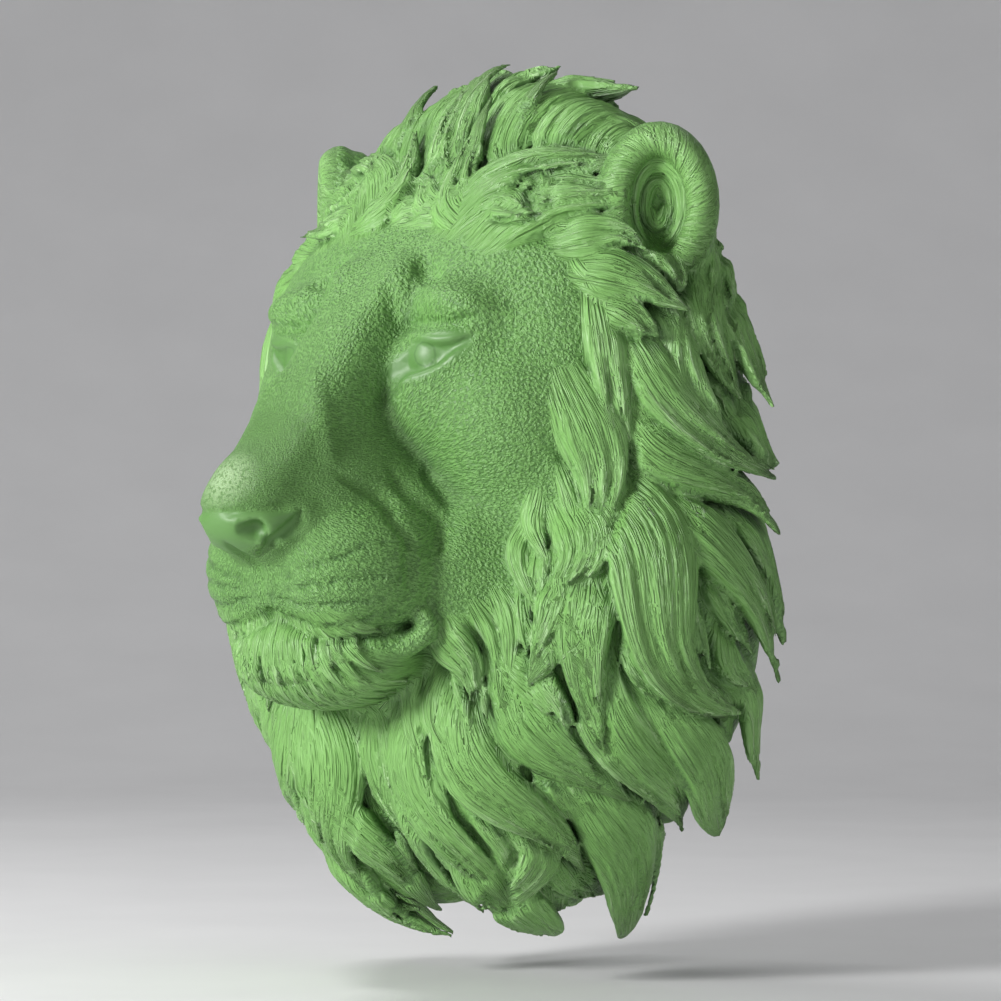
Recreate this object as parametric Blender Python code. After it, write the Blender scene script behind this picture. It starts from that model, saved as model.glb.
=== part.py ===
"""Lion head wall mask: one resin casting of a lion's head in its mane, flat behind, that hangs on a wall.

Metres, +Z up. The lion looks along -Y, and the origin is on the flat back, level with the nose.
Places on the head are (side, front, up): side is towards the lion's left, and front is the distance
from the wall. The head is sculpted as signed distances on a grid, meshed, thinned and cut off flat.
"""

import math

import bmesh
import bpy
import numpy as np
import openvdb
from mathutils import Matrix, Vector

CELL = 0.0030  # the grid that the head is sculpted on
TRIANGLES = 9300
FAR = 0.02  # no distance is stored beyond this
LOW_CORNER = (-0.180, -0.228, -0.222)
HIGH_CORNER = (0.180, 0.012, 0.222)

ROOT_RISE = -0.007  # a lock starts this far above the surface, and its tip ends TIP_RISE above it
TIP_RISE = 0.006
LOCK_BLEND = 0.0015
GROOVE = 0.0022  # how deep the surface is pressed in beside a lock, over MOAT
MOAT = 0.005
DEEPEST = 0.003  # hollows between locks go no further than this into the volumes under them

GREEN = (0.23, 0.52, 0.16, 1.0)
ROUGHNESS = 0.5

# The keyhole in the back that hangs the casting on a screw.
KEYHOLE_UP = 0.105
KEYHOLE_RUN = 0.016
KEYHOLE_HEAD = 0.0065
KEYHOLE_NECK = 0.0028
KEYHOLE_LIP = 0.004
KEYHOLE_DEPTH = 0.012

# Volumes of the mane under its locks: centre, radii and how softly each runs into the last.
MANE_MASSES = (
    ((0.000, 0.018, 0.115), (0.100, 0.054, 0.082), 0.026),
    ((0.054, 0.015, 0.040), (0.069, 0.064, 0.092), 0.026),
    ((0.066, 0.032, -0.052), (0.076, 0.076, 0.093), 0.026),
    ((0.036, 0.040, -0.102), (0.052, 0.084, 0.084), 0.024),
)

EYE = (0.0398, 0.1120, 0.0652)
EYE_RADIUS = 0.0155
EYE_TURN = 38
EAR = (0.103, 0.034, 0.135)
EAR_TURN = 41
# Curls of hair in the ear: how wide and tall an arc, where it starts and stops, how far out, its half width
# and ridges.
EAR_HAIR = (
    (0.0118, 0.0190, -70, 235, 0.0010, 0.0042, 3),
    (0.0066, 0.0115, -40, 250, -0.0030, 0.0036, 2),
    (0.0030, 0.0080, -150, -20, -0.0030, 0.0046, 3),
)

RIDGE_WIDTH = 6.5  # millimetres
RIDGE_HEIGHT = 0.0014
SPLITS = 3  # thinner locks that split from a wide one
TAPER = 2.6

# Locks of the lion's left side: across and up on the map at the root and at the tip, width in millimetres,
# bow and curl as shares of the length, and how much more than TIP_RISE the tip lifts, in millimetres. Later ones
# lie on top.
LOCKS = (
    (69, 53, 82, 29, 27, 0.04, 0.00, 14),
    (77, 31, 87, -1, 27, 0.10, 0.03, 33),
    (79, 5, 77, -41, 33, 0.17, 0.02, 12),
    (74, -41, 62, -62, 21, 0.08, 0.02, 21),
    (56, -37, 48, -76, 38, 0.13, 0.01, 26),
    (43, -54, 25, -84, 21, 0.18, 0.01, 21),
    (38, -50, 20, -85, 44, 0.17, 0.02, 24),
    (16, -57, 12, -83, 42, 0.07, -0.02, 16),
    (-23, -45, -12, -72, 31, -0.42, -0.09, 4),
    (-30, -29, -36, -51, 27, -0.24, 0.01, 4),
    (-12, -38, -10, -74, 35, 0.09, -0.06, 4),
    (10, -35, 5, -67, 29, -0.25, -0.06, 0),
    (14, -35, 16, -68, 34, -0.07, -0.08, 0),
    (22, -35, 29, -67, 34, 0.02, -0.06, 0),
    (32, -34, 44, -57, 39, -0.03, -0.04, 0),
    (48, -29, 45, -73, 33, 0.06, -0.05, 6),
    (64, 5, 76, -42, 35, 0.14, -0.02, 9),
    (58, 23, 86, -10, 38, 0.05, -0.07, 10),
    (61, 49, 87, 5, 21, -0.08, -0.02, 18),
    (61, 58, 79, 28, 30, -0.06, -0.01, 3),
    (49, 57, 59, 44, 26, 0.07, -0.03, 3),
    (53, 6, 67, -47, 52, 0.01, 0.07, 0),
    (52, 39, 87, 6, 29, -0.04, -0.01, 13),
    (45, 43, 60, 4, 22, 0.03, 0.00, 0),
    (44, 26, 51, -12, 34, 0.16, -0.01, 0),
    (47, 0, 42, -21, 31, 0.24, 0.02, 0),
    (48, -14, 37, -33, 38, 0.08, 0.01, 0),
    (53, -14, 45, -44, 31, -0.08, -0.01, 0),
    (22, -22, 25, -36, 25, 0.11, -0.05, 0),
    (-5, 59, -24, 71, 24, 0.08, -0.02, 5),
    (3, 59, -15, 78, 34, 0.28, 0.01, 4),
    (13, 58, 0, 82, 34, 0.32, -0.01, 4),
    (3, 79, 10, 85, 24, 0.42, 0.12, 6),
    (8, 84, 27, 82, 30, 0.10, 0.00, 9),
    (16, 85, 28, 64, 40, -0.42, 0.03, -4),
    (29, 83, 38, 64, 38, -0.45, 0.04, -4),
    (36, 80, 42, 66, 28, -0.45, 0.04, -3),
    (17, 53, 8, 73, 28, 0.22, 0.02, 6),
    (6, 57, -2, 65, 20, 0.15, 0.01, 3),
    (11, 52, 37, 67, 46, 0.16, 0.02, 6),
    (20, 49, 45, 61, 42, 0.16, 0.02, 7),
    (34, 51, 50, 50, 32, 0.18, -0.04, 6),
    (40, 46, 60, 42, 32, 0.06, -0.00, 6),
    (47, 40, 59, 35, 22, 0.06, 0.01, 4),
    (-16, 62, -30, 58, 28, -0.25, -0.08, 4),
    (-15, 55, -30, 51, 28, -0.20, -0.06, 3),
)


# Where the mane begins: clock angle on the map, and degrees from the nose.
FACE_EDGE = ((-90, 37), (-60, 34), (-38, 33), (-10, 41), (8, 45), (24, 55), (44, 66), (66, 62), (90, 59))

# Rows of locks that follow the table's: degrees beyond the face edge, length, width in millimetres and spacing.
ROWS = (
    (38, 26, 28, 11),
    (30, 32, 28, 11),
    (21, 36, 26, 10),
    (12, 34, 24, 10),
    (5, 30, 21, 9),
    (-1, 22, 13, 5),
)
LINKS = 20
LAST_REACH = 91


# Volumes of the face: centre, radii, blend, tilt, turn and squareness.
FACE_MASSES = (
    ((0.000, 0.022, 0.060), (0.119, 0.098, 0.085), 0.026, 0, 0, 2.4),
    ((0.054, 0.062, 0.030), (0.041, 0.050, 0.054), 0.020, 0, 0, 2.0),
    ((0.000, 0.123, 0.054), (0.0235, 0.033, 0.066), 0.009, 38, 0, 3.2),
    ((0.000, 0.162, 0.012), (0.0245, 0.029, 0.046), 0.009, 38, 0, 3.2),
    ((0.000, 0.122, -0.012), (0.040, 0.048, 0.040), 0.016, 30, 0, 2.4),
    ((0.000, 0.095, -0.050), (0.050, 0.052, 0.042), 0.014, 0, 0, 2.2),
    ((0.052, 0.092, -0.040), (0.022, 0.040, 0.042), 0.012, 0, 0, 2.0),
)


def sides_of(centre):
    """A place off the middle is made on both sides of the head."""
    return (1,) if centre[0] == 0 else (1, -1)


def smooth_min(first, second, blend):
    gap = np.maximum(blend - np.abs(first - second), 0) / blend
    return np.minimum(first, second) - gap * gap * blend / 4


def curve_through(marks, steps=5):
    """Places along a smooth curve through the marks."""
    marks = np.array(marks, float)
    ends = np.vstack([2 * marks[0] - marks[1], marks, 2 * marks[-1] - marks[-2]])
    places = []
    for a, b, c, d in zip(ends, ends[1:], ends[2:], ends[3:]):
        for t in np.arange(steps) / steps:
            bend = (a - 2.5 * b + 2 * c - d / 2) * t**2 + (1.5 * (b - c) + (d - a) / 2) * t**3
            places.append(tuple(b + (c - a) * t / 2 + bend))
    return places + [tuple(marks[-1])]


def sideways(path, lie):
    """The direction across a path at each of its points."""
    side = np.cross(lie, np.gradient(path, axis=0))
    return side / np.maximum(np.linalg.norm(side, axis=1, keepdims=True), 1e-9)


class Clay:
    """A block of clay: signed distances on a grid, negative inside. Places in it are (side, front, up)."""

    def __init__(self, cell):
        self.cell = cell
        self.low = np.array(LOW_CORNER)
        counts = np.ceil((np.array(HIGH_CORNER) - self.low) / cell).astype(int) + 1
        self.field = np.full(counts, FAR, np.float32)

    def window(self, low, high):
        """The slices that hold the box from low to high, and the coordinates along each axis."""
        counts = np.array(self.field.shape)
        first = np.clip(np.floor((np.array(low) - self.low) / self.cell).astype(int), 0, counts)
        last = np.clip(np.ceil((np.array(high) - self.low) / self.cell).astype(int) + 1, 0, counts)
        slices = tuple(slice(a, b) for a, b in zip(first, last))
        axes = [self.low[i] + self.cell * np.arange(first[i], last[i]) for i in range(3)]
        return slices, np.meshgrid(*[a.astype(np.float32) for a in axes], indexing="ij", sparse=True)

    def ellipsoid(self, centre, radii, blend, tilt=0.0, turn=0.0, square=2.0, carve=False):
        """Adds or carves an ellipsoid, boxier as square grows. Tilt leans its top back, turn its front in."""
        for side in sides_of(centre):
            middle = np.array((side * centre[0], -centre[1], centre[2]))
            spin = (Matrix.Rotation(math.radians(-side * turn), 3, "Z")
                    @ Matrix.Rotation(math.radians(-tilt), 3, "X"))
            spin = np.array(spin)
            reach = np.sqrt((spin * np.array(radii)) ** 2 @ np.ones(3)) + blend + 2 * self.cell
            slices, points = self.window(middle - reach, middle + reach)
            local = [abs(sum(spin[j, i] * (points[j] - middle[j]) for j in range(3))) / radii[i]
                     for i in range(3)]
            near = sum(v**square for v in local) ** (1 / square) + 1e-6
            steep = np.sqrt(sum(((v / near) ** (square - 1) / r) ** 2 for v, r in zip(local, radii)))
            self.merge(slices, ((near - 1) / steep).astype(np.float32), blend, carve)

    def merge(self, slices, distance, blend, carve=False):
        if carve:
            self.field[slices] = -smooth_min(-self.field[slices], distance, blend)
        else:
            self.field[slices] = smooth_min(self.field[slices], distance, blend)

    def chain_distance(self, path, radii, reach):
        """(slices, distance to a chain of round tapered links) within reach of it."""
        path = np.array(path)
        slices, points = self.window(path.min(0) - reach, path.max(0) + reach)
        nearest = None
        for a, b, ra, rb in zip(path[:-1], path[1:], radii[:-1], radii[1:]):
            along = b - a
            length = max(float(along @ along), 1e-12)
            t = np.clip(sum((points[i] - a[i]) * along[i] for i in range(3)) / length, 0, 1)
            off = [points[i] - a[i] - t * along[i] for i in range(3)]
            distance = np.sqrt(sum(v * v for v in off)) - (ra + (rb - ra) * t)
            nearest = distance if nearest is None else np.minimum(nearest, distance)
        return slices, nearest.astype(np.float32)

    def limb(self, places, radii, blend, carve=False):
        """Adds a chain of round tapered links through the places, or carves it out."""
        for side in sides_of(max(places, key=lambda p: abs(p[0]))):
            path = [(side * s, -f, u) for s, f, u in places]
            slices, distance = self.chain_distance(path, radii, max(radii) + blend + 2 * self.cell)
            self.merge(slices, distance, blend, carve)

    def stroke(self, places, width, height):
        """Raises the surface by height in a soft band along the places, or presses it in if height is negative.
        The band fades away at both ends."""
        for side in sides_of(max(places, key=lambda p: abs(p[0]))):
            path = [(side * s, -f, u) for s, f, u in places]
            t = np.linspace(0, 1, len(path))
            short = -width * np.clip(1 - 4 * np.minimum(t, 1 - t), 0, 1)
            slices, distance = self.chain_distance(path, short, width)
            band = np.clip(1 - (distance / width) ** 2, 0, 1) ** 2
            self.field[slices] -= (height * band).astype(np.float32)

    def settle(self, marks):
        """Drops marks (side, up) onto the front of the clay. Returns (side, front, up) for each."""
        fronts = np.arange(0.230, 0.020, -0.001)
        places = []
        for side, up in marks:
            line = np.stack([np.full(len(fronts), side), -fronts, np.full(len(fronts), up)], axis=1)
            value = self.sample(self.field, line)
            first = max(int(np.argmax(value < 0)), 1)
            back = 0.001 * value[first] / min(value[first] - value[first - 1], -1e-6)
            places.append((side, fronts[first] + back, up))
        return places

    def sample(self, field, points):
        """The field at each point, blended from the eight cells around it."""
        place = (points - self.low) / self.cell
        first = np.clip(np.floor(place).astype(int), 0, np.array(field.shape) - 2)
        part = np.clip(place - first, 0, 1)
        total = 0
        for corner in np.ndindex(2, 2, 2):
            share = np.prod(np.where(corner, part, 1 - part), axis=-1)
            total = total + share * field[tuple(np.moveaxis(first + corner, -1, 0))]
        return total

    def surface(self, field, spots):
        """The field's surface under each spot of the map, as points."""
        steps = np.arange(0.250, 0.050, -0.002)
        direction = toward(spots)
        value = self.sample(field, direction[:, None, :] * steps[:, None])
        first = np.maximum(np.argmax(value < 0, axis=1), 1)
        row = np.arange(len(spots))
        before, after = value[row, first - 1], value[row, first]
        return direction * (steps[first] + 0.002 * after / np.minimum(after - before, -1e-6))[:, None]

    def slope(self, field, points, step=0.006):
        """The outward direction of the field at each point."""
        rise = [self.sample(field, points + e) - self.sample(field, points - e) for e in np.eye(3) * step]
        rise = np.stack(rise, axis=-1)
        return rise / np.maximum(np.linalg.norm(rise, axis=-1, keepdims=True), 1e-9)

    def lay_lock(self, base, spots, width, flick, fine, dice):
        """Lays one lock of hair over the spots of the map. A fine lock is ridged and splits into thinner ones."""
        seat = self.surface(base, spots)
        lie = self.slope(base, seat)
        t = np.linspace(0, 1, len(spots))
        wide = 0.0005 * width * np.clip(0.4 + 1.5 * t, 0, 1) * (1 - t**TAPER)
        wide = np.maximum(wide, 0.65 * self.cell)
        thick = (0.40 * wide + 0.0010) * np.clip(0.25 + 2.0 * t, 0, 1)
        size = min(width / 25, 1)
        rise = size * ROOT_RISE * np.clip(1 - t / 0.45, 0, 1) ** 2 + (size * TIP_RISE + 0.001 * flick) * t**2
        path = seat + lie * (rise - 0.3 * thick)[:, None]
        ridges = max(round(width / RIDGE_WIDTH), 2) if fine else 0
        self.ribbon(path, lie, wide, thick, size * GROOVE, ridges, dice.uniform(0, 6))
        side = sideways(path, lie)
        for k in range(SPLITS):
            start, stop = dice.uniform(0.15, 0.45), dice.uniform(0.78, 0.97)
            place, drift = dice.uniform(-0.65, 0.65), dice.uniform(-0.25, 0.45)
            if not fine or width < 20:
                continue
            cut = (t >= start) & (t <= stop)
            share = (t[cut] - start) / (stop - start)
            shift = place * (1 + drift * share) * wide[cut]
            slim = np.maximum(wide[cut] * 0.34 * np.clip(0.4 + 2 * share, 0, 1) * (1 - share**TAPER),
                              0.65 * self.cell)
            over = np.sqrt(1 - 0.8 * place**2) * thick[cut] - slim * (0.75 - 0.5 * share)
            middle = path[cut] + side[cut] * shift[:, None] + lie[cut] * over[:, None]
            self.ribbon(middle, lie[cut], slim, 0.6 * slim, 0.5 * GROOVE, 2, dice.uniform(0, 6))

    def ribbon(self, path, lie, wide, thick, groove, ridges, phase):
        """Adds a flattened tapering body along a path, with a groove pressed beside it and ridges if it has any."""
        slices, u, v, out, rest = self.along_path(path, lie, wide.max() + MOAT)
        t = np.linspace(0, 1, len(path))
        w = np.interp(v, t, wide)
        h = np.interp(v, t, thick)
        near = np.sqrt((u * u + rest) / w**2 + (out / h) ** 2) + 1e-6
        steep = np.sqrt((u * u + rest) / w**4 + out**2 / h**4) / near
        distance = (near - 1) / steep
        if ridges:
            u = u / w + 0.10 * np.sin(5 * v + phase)
            fade = np.clip(2 * w / ridges / self.cell - 1.5, 0, 1)
            distance -= RIDGE_HEIGHT * fade * (np.abs(np.cos(math.pi * (0.5 * ridges * u + phase))) - 0.6)
        groove = groove * np.clip(2.5 * v - 0.4, 0, 1)
        self.field[slices] += groove * np.clip(1 - np.abs(distance) / MOAT, 0, 1)
        self.merge(slices, distance.astype(np.float32), LOCK_BLEND)

    def along_path(self, path, lie, grow):
        """For the box round a path: how far across it, how far along it as a share, how far out along lie
        and the square of what is left, measured from the nearest place on the path."""
        slices, _ = self.window(path.min(0) - grow, path.max(0) + grow)
        corner = np.array([s.start for s in slices])
        nearest = np.full(self.field[slices].shape, 1.0, np.float32)
        across, share, out = np.zeros_like(nearest), np.zeros_like(nearest), np.zeros_like(nearest)
        last = len(path) - 1
        side = sideways(path, lie)
        for i in range(last):
            a, along = path[i], path[i + 1] - path[i]
            inner, points = self.window(np.minimum(a, path[i + 1]) - grow,
                                        np.maximum(a, path[i + 1]) + grow)
            inner = tuple(slice(s.start - c, s.stop - c) for s, c in zip(inner, corner))
            off = [points[k] - a[k] for k in range(3)]
            t = np.clip(sum(off[k] * along[k] for k in range(3)) / max(float(along @ along), 1e-9), 0, 1)
            off = [off[k] - t * along[k] for k in range(3)]
            square = sum(v * v for v in off)
            closer = square < nearest[inner]
            nearest[inner] = np.where(closer, square, nearest[inner])
            share[inner] = np.where(closer, (i + t) / last, share[inner])
            for box, arrow in ((across, side), (out, lie)):
                height = sum(off[k] * (arrow[i, k] + (arrow[i + 1, k] - arrow[i, k]) * t) for k in range(3))
                box[inner] = np.where(closer, height, box[inner])
        return slices, across, share, out, np.maximum(nearest - across**2 - out**2, 0)


def toward(spots):
    """The direction from the core to spots of the map: (across, up) in degrees from the nose, 90 at the wall."""
    reach = np.radians(np.hypot(spots[..., 0], spots[..., 1]))
    clock = np.arctan2(spots[..., 1], spots[..., 0])
    return np.stack([np.sin(reach) * np.cos(clock), -np.cos(reach), np.sin(reach) * np.sin(clock)], axis=-1)


def sculpt_masses(clay):
    for centre, radii, blend in MANE_MASSES:
        clay.ellipsoid(centre, radii, blend)
    for centre, radii, blend, tilt, turn, square in FACE_MASSES:
        clay.ellipsoid(centre, radii, blend, tilt, turn, square)


def sculpt_muzzle(clay):
    """Whisker pads, nose leather with comma nostrils, the split lip, the mouth and the chin."""
    clay.ellipsoid((0.000, 0.142, -0.067), (0.047, 0.036, 0.026), 0.006, -6, 0, 2.2)
    clay.ellipsoid((0.000, 0.153, -0.036), (0.024, 0.034, 0.022), 0.008)
    clay.ellipsoid((0.0272, 0.1500, -0.0315), (0.0285, 0.0375, 0.0305), 0.006, 0, 14, 2.2)
    clay.ellipsoid((0.0320, 0.1220, -0.0180), (0.0170, 0.0300, 0.0280), 0.010, 0, 10, 2.2)
    clay.ellipsoid((0.0180, 0.1480, -0.0080), (0.0165, 0.0340, 0.0300), 0.010)
    clay.ellipsoid((0.000, 0.189, -0.0095), (0.022, 0.0250, 0.0165), 0.006, 20, 0, 2.6)
    clay.ellipsoid((0.000, 0.1905, 0.0040), (0.0205, 0.0180, 0.0220), 0.006, 40)
    clay.limb([(0.013, 0.194, -0.009), (0.022, 0.182, -0.007)], (0.0095, 0.0070), 0.006)
    clay.limb([(0.0150, 0.2090, -0.0140), (0.0170, 0.2045, -0.0135)], (0.0046, 0.0052), 0.0015, carve=True)
    wing = [(0.0188, 0.1980, -0.0180), (0.0226, 0.1935, -0.0135), (0.0258, 0.1890, -0.0082),
            (0.0268, 0.1860, -0.0046)]
    clay.limb(curve_through(wing), np.linspace(0.0028, 0.0010, 16), 0.0010, carve=True)
    clay.stroke(clay.settle(curve_through([(0.0, -0.016), (0.0, -0.030), (0.0, -0.050)])), 0.0046, -0.0050)
    edges = (
        [(0.000, 0.2140, -0.0052), (0.0085, 0.2128, -0.0054), (0.0180, 0.2060, -0.0042),
         (0.0235, 0.1940, -0.0030), (0.0275, 0.1850, -0.0030)],
        [(0.0030, 0.1914, -0.0268), (0.0150, 0.1960, -0.0205), (0.0245, 0.1900, -0.0125),
         (0.0290, 0.1820, -0.0050)],
    )
    for marks in edges:
        clay.stroke(curve_through(marks), 0.0034, -0.0024)
    mouth = [(0.000, -0.0500), (0.0098, -0.0572), (0.0253, -0.0610), (0.0371, -0.0612), (0.0446, -0.0585),
             (0.0520, -0.0510)]
    clay.limb(clay.settle(curve_through(mouth)),
              np.interp(np.linspace(0, 1, 26), (0, 0.8, 1), (0.0026, 0.0022, 0.0008)), 0.0015, carve=True)
    corner = [(0.0400, 0.1510, -0.0690), (0.0480, 0.1410, -0.0650), (0.0535, 0.1350, -0.0585),
              (0.0540, 0.1365, -0.0525)]
    clay.limb(curve_through(corner),
              np.interp(np.linspace(0, 3, 16), range(4), (0.0034, 0.0050, 0.0056, 0.0044)), 0.004)
    sculpt_folds(clay)


def sculpt_folds(clay):
    """The crease behind each whisker pad, looser folds of skin beyond it, and faint rows where whiskers grow."""
    pad = [(0.0268, 0.0156), (0.0319, 0.0089), (0.0422, -0.0027), (0.0525, -0.0143), (0.0562, -0.0259),
           (0.0559, -0.0397), (0.0519, -0.0486)]
    beyond = [(0.0335, 0.0190), (0.0375, 0.0099), (0.0450, -0.0004), (0.0520, -0.0099), (0.0555, -0.0212),
              (0.0570, -0.0330)]
    last = [(0.0355, 0.0250), (0.0410, 0.0120), (0.0490, 0.0010), (0.0560, -0.0100), (0.0610, -0.0200)]
    tear = [(0.0090, 0.064), (0.0110, 0.0563), (0.0206, 0.0417), (0.0239, 0.0300), (0.0257, 0.0201),
            (0.0308, 0.0130)]
    for marks, width, height in ((pad, 0.0055, -0.0046), (beyond, 0.0055, -0.0028), (last, 0.0050, -0.0018),
                                 (tear, 0.0075, 0.0017)):
        clay.stroke(clay.settle(curve_through(marks)), width, height)
    whiskers = (
        [(0.0101, -0.0362), (0.0318, -0.0302), (0.0432, -0.0252), (0.0515, -0.0191)],
        [(0.0067, -0.0400), (0.0287, -0.0382), (0.0432, -0.0359), (0.0518, -0.0346), (0.0560, -0.0338)],
        [(0.0050, -0.0430), (0.0134, -0.0447), (0.0265, -0.0471), (0.0394, -0.0466), (0.0526, -0.0436)],
        [(0.0060, -0.0505), (0.0153, -0.0537), (0.0289, -0.0562), (0.0391, -0.0552), (0.0510, -0.0499)],
    )
    for marks in whiskers:
        clay.stroke(clay.settle(curve_through(marks)), 0.0028, -0.0014)


def sculpt_eyes(clay):
    """Half closed eyes: full lids, a slanted opening with the ball inside it, thin lid edges and a crease."""
    clay.ellipsoid((0.056, 0.092, 0.038), (0.033, 0.029, 0.034), 0.012)
    clay.ellipsoid((0.034, 0.110, 0.052), (0.020, 0.021, 0.026), 0.010, 10)
    clay.ellipsoid((0.047, 0.104, 0.068), (0.022, 0.0215, 0.019), 0.008, 0, 28)
    upper = [(0.0280, 0.0600), (0.0290, 0.0690), (0.0340, 0.0735), (0.0441, 0.0735), (0.0556, 0.0728),
             (0.0635, 0.0748), (0.0700, 0.0780)]
    lower = [(0.0270, 0.0480), (0.0328, 0.0525), (0.0399, 0.0552), (0.0479, 0.0575), (0.0556, 0.0620),
             (0.0612, 0.0678), (0.0670, 0.0750)]
    crease = [(0.0250, 0.0700), (0.0270, 0.0790), (0.0416, 0.0800), (0.0555, 0.0792), (0.0661, 0.0820),
              (0.0712, 0.0845)]
    opening = [(0.0295, 0.0505), (0.0325, 0.0590), (0.0385, 0.0635), (0.0470, 0.0650), (0.0550, 0.0672),
               (0.0615, 0.0710), (0.0665, 0.0752)]
    duct = [(0.0300, 0.0640), (0.0275, 0.0560), (0.0255, 0.0480), (0.0240, 0.0410)]
    upper, lower, crease, opening = [clay.settle(curve_through(marks))
                                     for marks in (upper, lower, crease, opening)]
    radii = np.interp(np.linspace(0, 6, 31), range(7),
                      (0.0020, 0.0056, 0.0078, 0.0074, 0.0056, 0.0034, 0.0010))
    turn = math.radians(EYE_TURN)
    opening = [(s + 0.5 * r * math.sin(turn), f + 0.5 * r * math.cos(turn), u)
               for (s, f, u), r in zip(opening, radii)]
    clay.limb(opening, radii, 0.0010, carve=True)
    clay.ellipsoid(EYE, (EYE_RADIUS,) * 3, 0.0005)
    clay.stroke(crease, 0.0036, -0.0030)
    clay.stroke(upper, 0.0032, 0.0024)
    clay.stroke(lower, 0.0032, 0.0018)
    clay.stroke(clay.settle(curve_through(duct)), 0.0045, -0.0024)


def sculpt_brows(clay):
    clay.ellipsoid((0.048, 0.107, 0.086), (0.022, 0.018, 0.011), 0.012, 20, 20)
    clay.ellipsoid((0.0180, 0.113, 0.094), (0.0085, 0.013, 0.018), 0.006, 35)
    creases = (
        ([(0.0185, 0.104), (0.0230, 0.091), (0.0246, 0.077)], 0.0055, -0.0028),
        ([(0.0240, 0.109), (0.0315, 0.104), (0.0420, 0.098)], 0.0080, -0.0032),
        ([(0.0080, 0.075), (0.0070, 0.095), (0.0040, 0.125)], 0.0080, -0.0020),
    )
    for marks, width, height in creases:
        clay.stroke(clay.settle(curve_through(marks)), width, height)
    clay.stroke([(0.0, 0.150, 0.075), (0.0, 0.128, 0.100), (0.0, 0.098, 0.130)], 0.012, -0.003)


def sculpt_beard(clay, fine):
    """Short locks that fan out over the chin and turn under it."""
    dice = np.random.default_rng(3)
    base = clay.field.copy()
    for start, stop, count in ((-24, -35, 15), (-19, -30, 15), (-15, -25, 17)):
        for k in range(count):
            place = (2 * k + 1 + dice.uniform(-0.3, 0.3)) / count - 1
            t = np.linspace(0, 1, LINKS)[:, None]
            root, tip = np.array((11 * place, start)), np.array((16 * place, stop + 5 * place**2))
            clay.lay_lock(base, root + (tip - root) * t, 8.5, 0.0, fine, dice)


def ear_place(wide, tall, angle, out):
    """A place on an oval in the plane of the ear: at 0 degrees it is at its outer side and at 90 at its top."""
    turn = math.radians(EAR_TURN)
    a, b = wide * math.cos(math.radians(angle)), tall * math.sin(math.radians(angle))
    side = EAR[0] + a * math.cos(turn) + out * math.sin(turn)
    return side, EAR[1] - a * math.sin(turn) + out * math.cos(turn), EAR[2] + b


def ear_arc(wide, tall, start, stop, out):
    return [ear_place(wide, tall, angle, out) for angle in np.linspace(start, stop, 25)]


def sculpt_ear(clay, fine):
    """A rounded cup that opens forward and outward: a broad rim of hair round a bowl with curls inside."""
    clay.ellipsoid((EAR[0] - 0.004, EAR[1] - 0.006, EAR[2]), (0.026, 0.012, 0.035), 0.006, 0, -EAR_TURN)
    clay.limb(ear_arc(0.0195, 0.0295, -78, 226, 0.003), (0.0088,) * 25, 0.004)
    clay.ellipsoid((EAR[0] + 0.006, EAR[1] + 0.007, EAR[2] - 0.002), (0.0140, 0.0135, 0.0220), 0.003, 0,
                   -EAR_TURN, carve=True)
    turn = math.radians(EAR_TURN)
    facing = np.array((math.sin(turn), -math.cos(turn), 0.0))
    for wide, tall, start, stop, out, width, ridges in EAR_HAIR:
        for side in (1, -1):
            path = np.array([(side * s, -f, u) for s, f, u in ear_arc(wide, tall, start, stop, out)])
            lie = np.tile(facing * (side, 1, 1), (len(path), 1))
            slim = width * (0.45 + 0.55 * np.sin(math.pi * np.linspace(0.08, 0.92, len(path))))
            clay.ribbon(path, lie, slim, 0.6 * slim, 0.0008, ridges if fine else 0, 1.0)


def lock_spots(lock):
    """The spots of the map that a lock of the table runs over."""
    a, b, to_a, to_b, _, bow, curl, _ = lock
    t = np.linspace(-0.2, 1.04, LINKS)[:, None]
    along = np.array((to_a - a, to_b - b))
    across = np.array((-along[1], along[0]))
    return (a, b) + along * t + across * (bow * np.sin(math.pi * t) + curl * np.sin(2 * math.pi * t))


def guides():
    """Spots along the locks of the table and the way that the hair runs at each, on both sides of the head."""
    spots, runs = [], []
    for lock in LOCKS:
        if lock[1] > 78:  # the crest's own locks fall forward, against the rest
            continue
        path = lock_spots(lock)
        run = np.gradient(path, axis=0)
        run /= np.linalg.norm(run, axis=1, keepdims=True)
        for side in ((1, 1), (-1, 1)):
            spots.append(path[1::4] * side)
            runs.append(run[1::4] * side)
    return np.concatenate(spots), np.concatenate(runs)


def flowing(start, length, swing, guide):
    """Spots of a lock that follows its neighbours from the start, swinging a little from side to side."""
    spots, runs = guide
    path = [np.array(start, float)]
    for t in np.linspace(0, 1, LINKS)[1:]:
        weight = 1 / (((spots - path[-1]) ** 2).sum(1) + 30)
        run = (runs * weight[:, None]).sum(0)
        run /= np.linalg.norm(run) + 1e-9
        bend = swing * math.sin(2 * math.pi * t)
        run = np.array((run[0] - bend * run[1], run[1] + bend * run[0]))
        spot = path[-1] + run * length / LINKS
        far = math.hypot(*spot)
        path.append(spot if far < LAST_REACH else spot * LAST_REACH / far)
    return np.array(path)


def face_edge(clock):
    """How far from the nose the mane begins, at a clock angle on the map (0 to the lion's left, 90 up)."""
    folded = clock if clock <= 90 else 180 - clock
    return float(np.interp(folded, *zip(*FACE_EDGE)))


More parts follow.
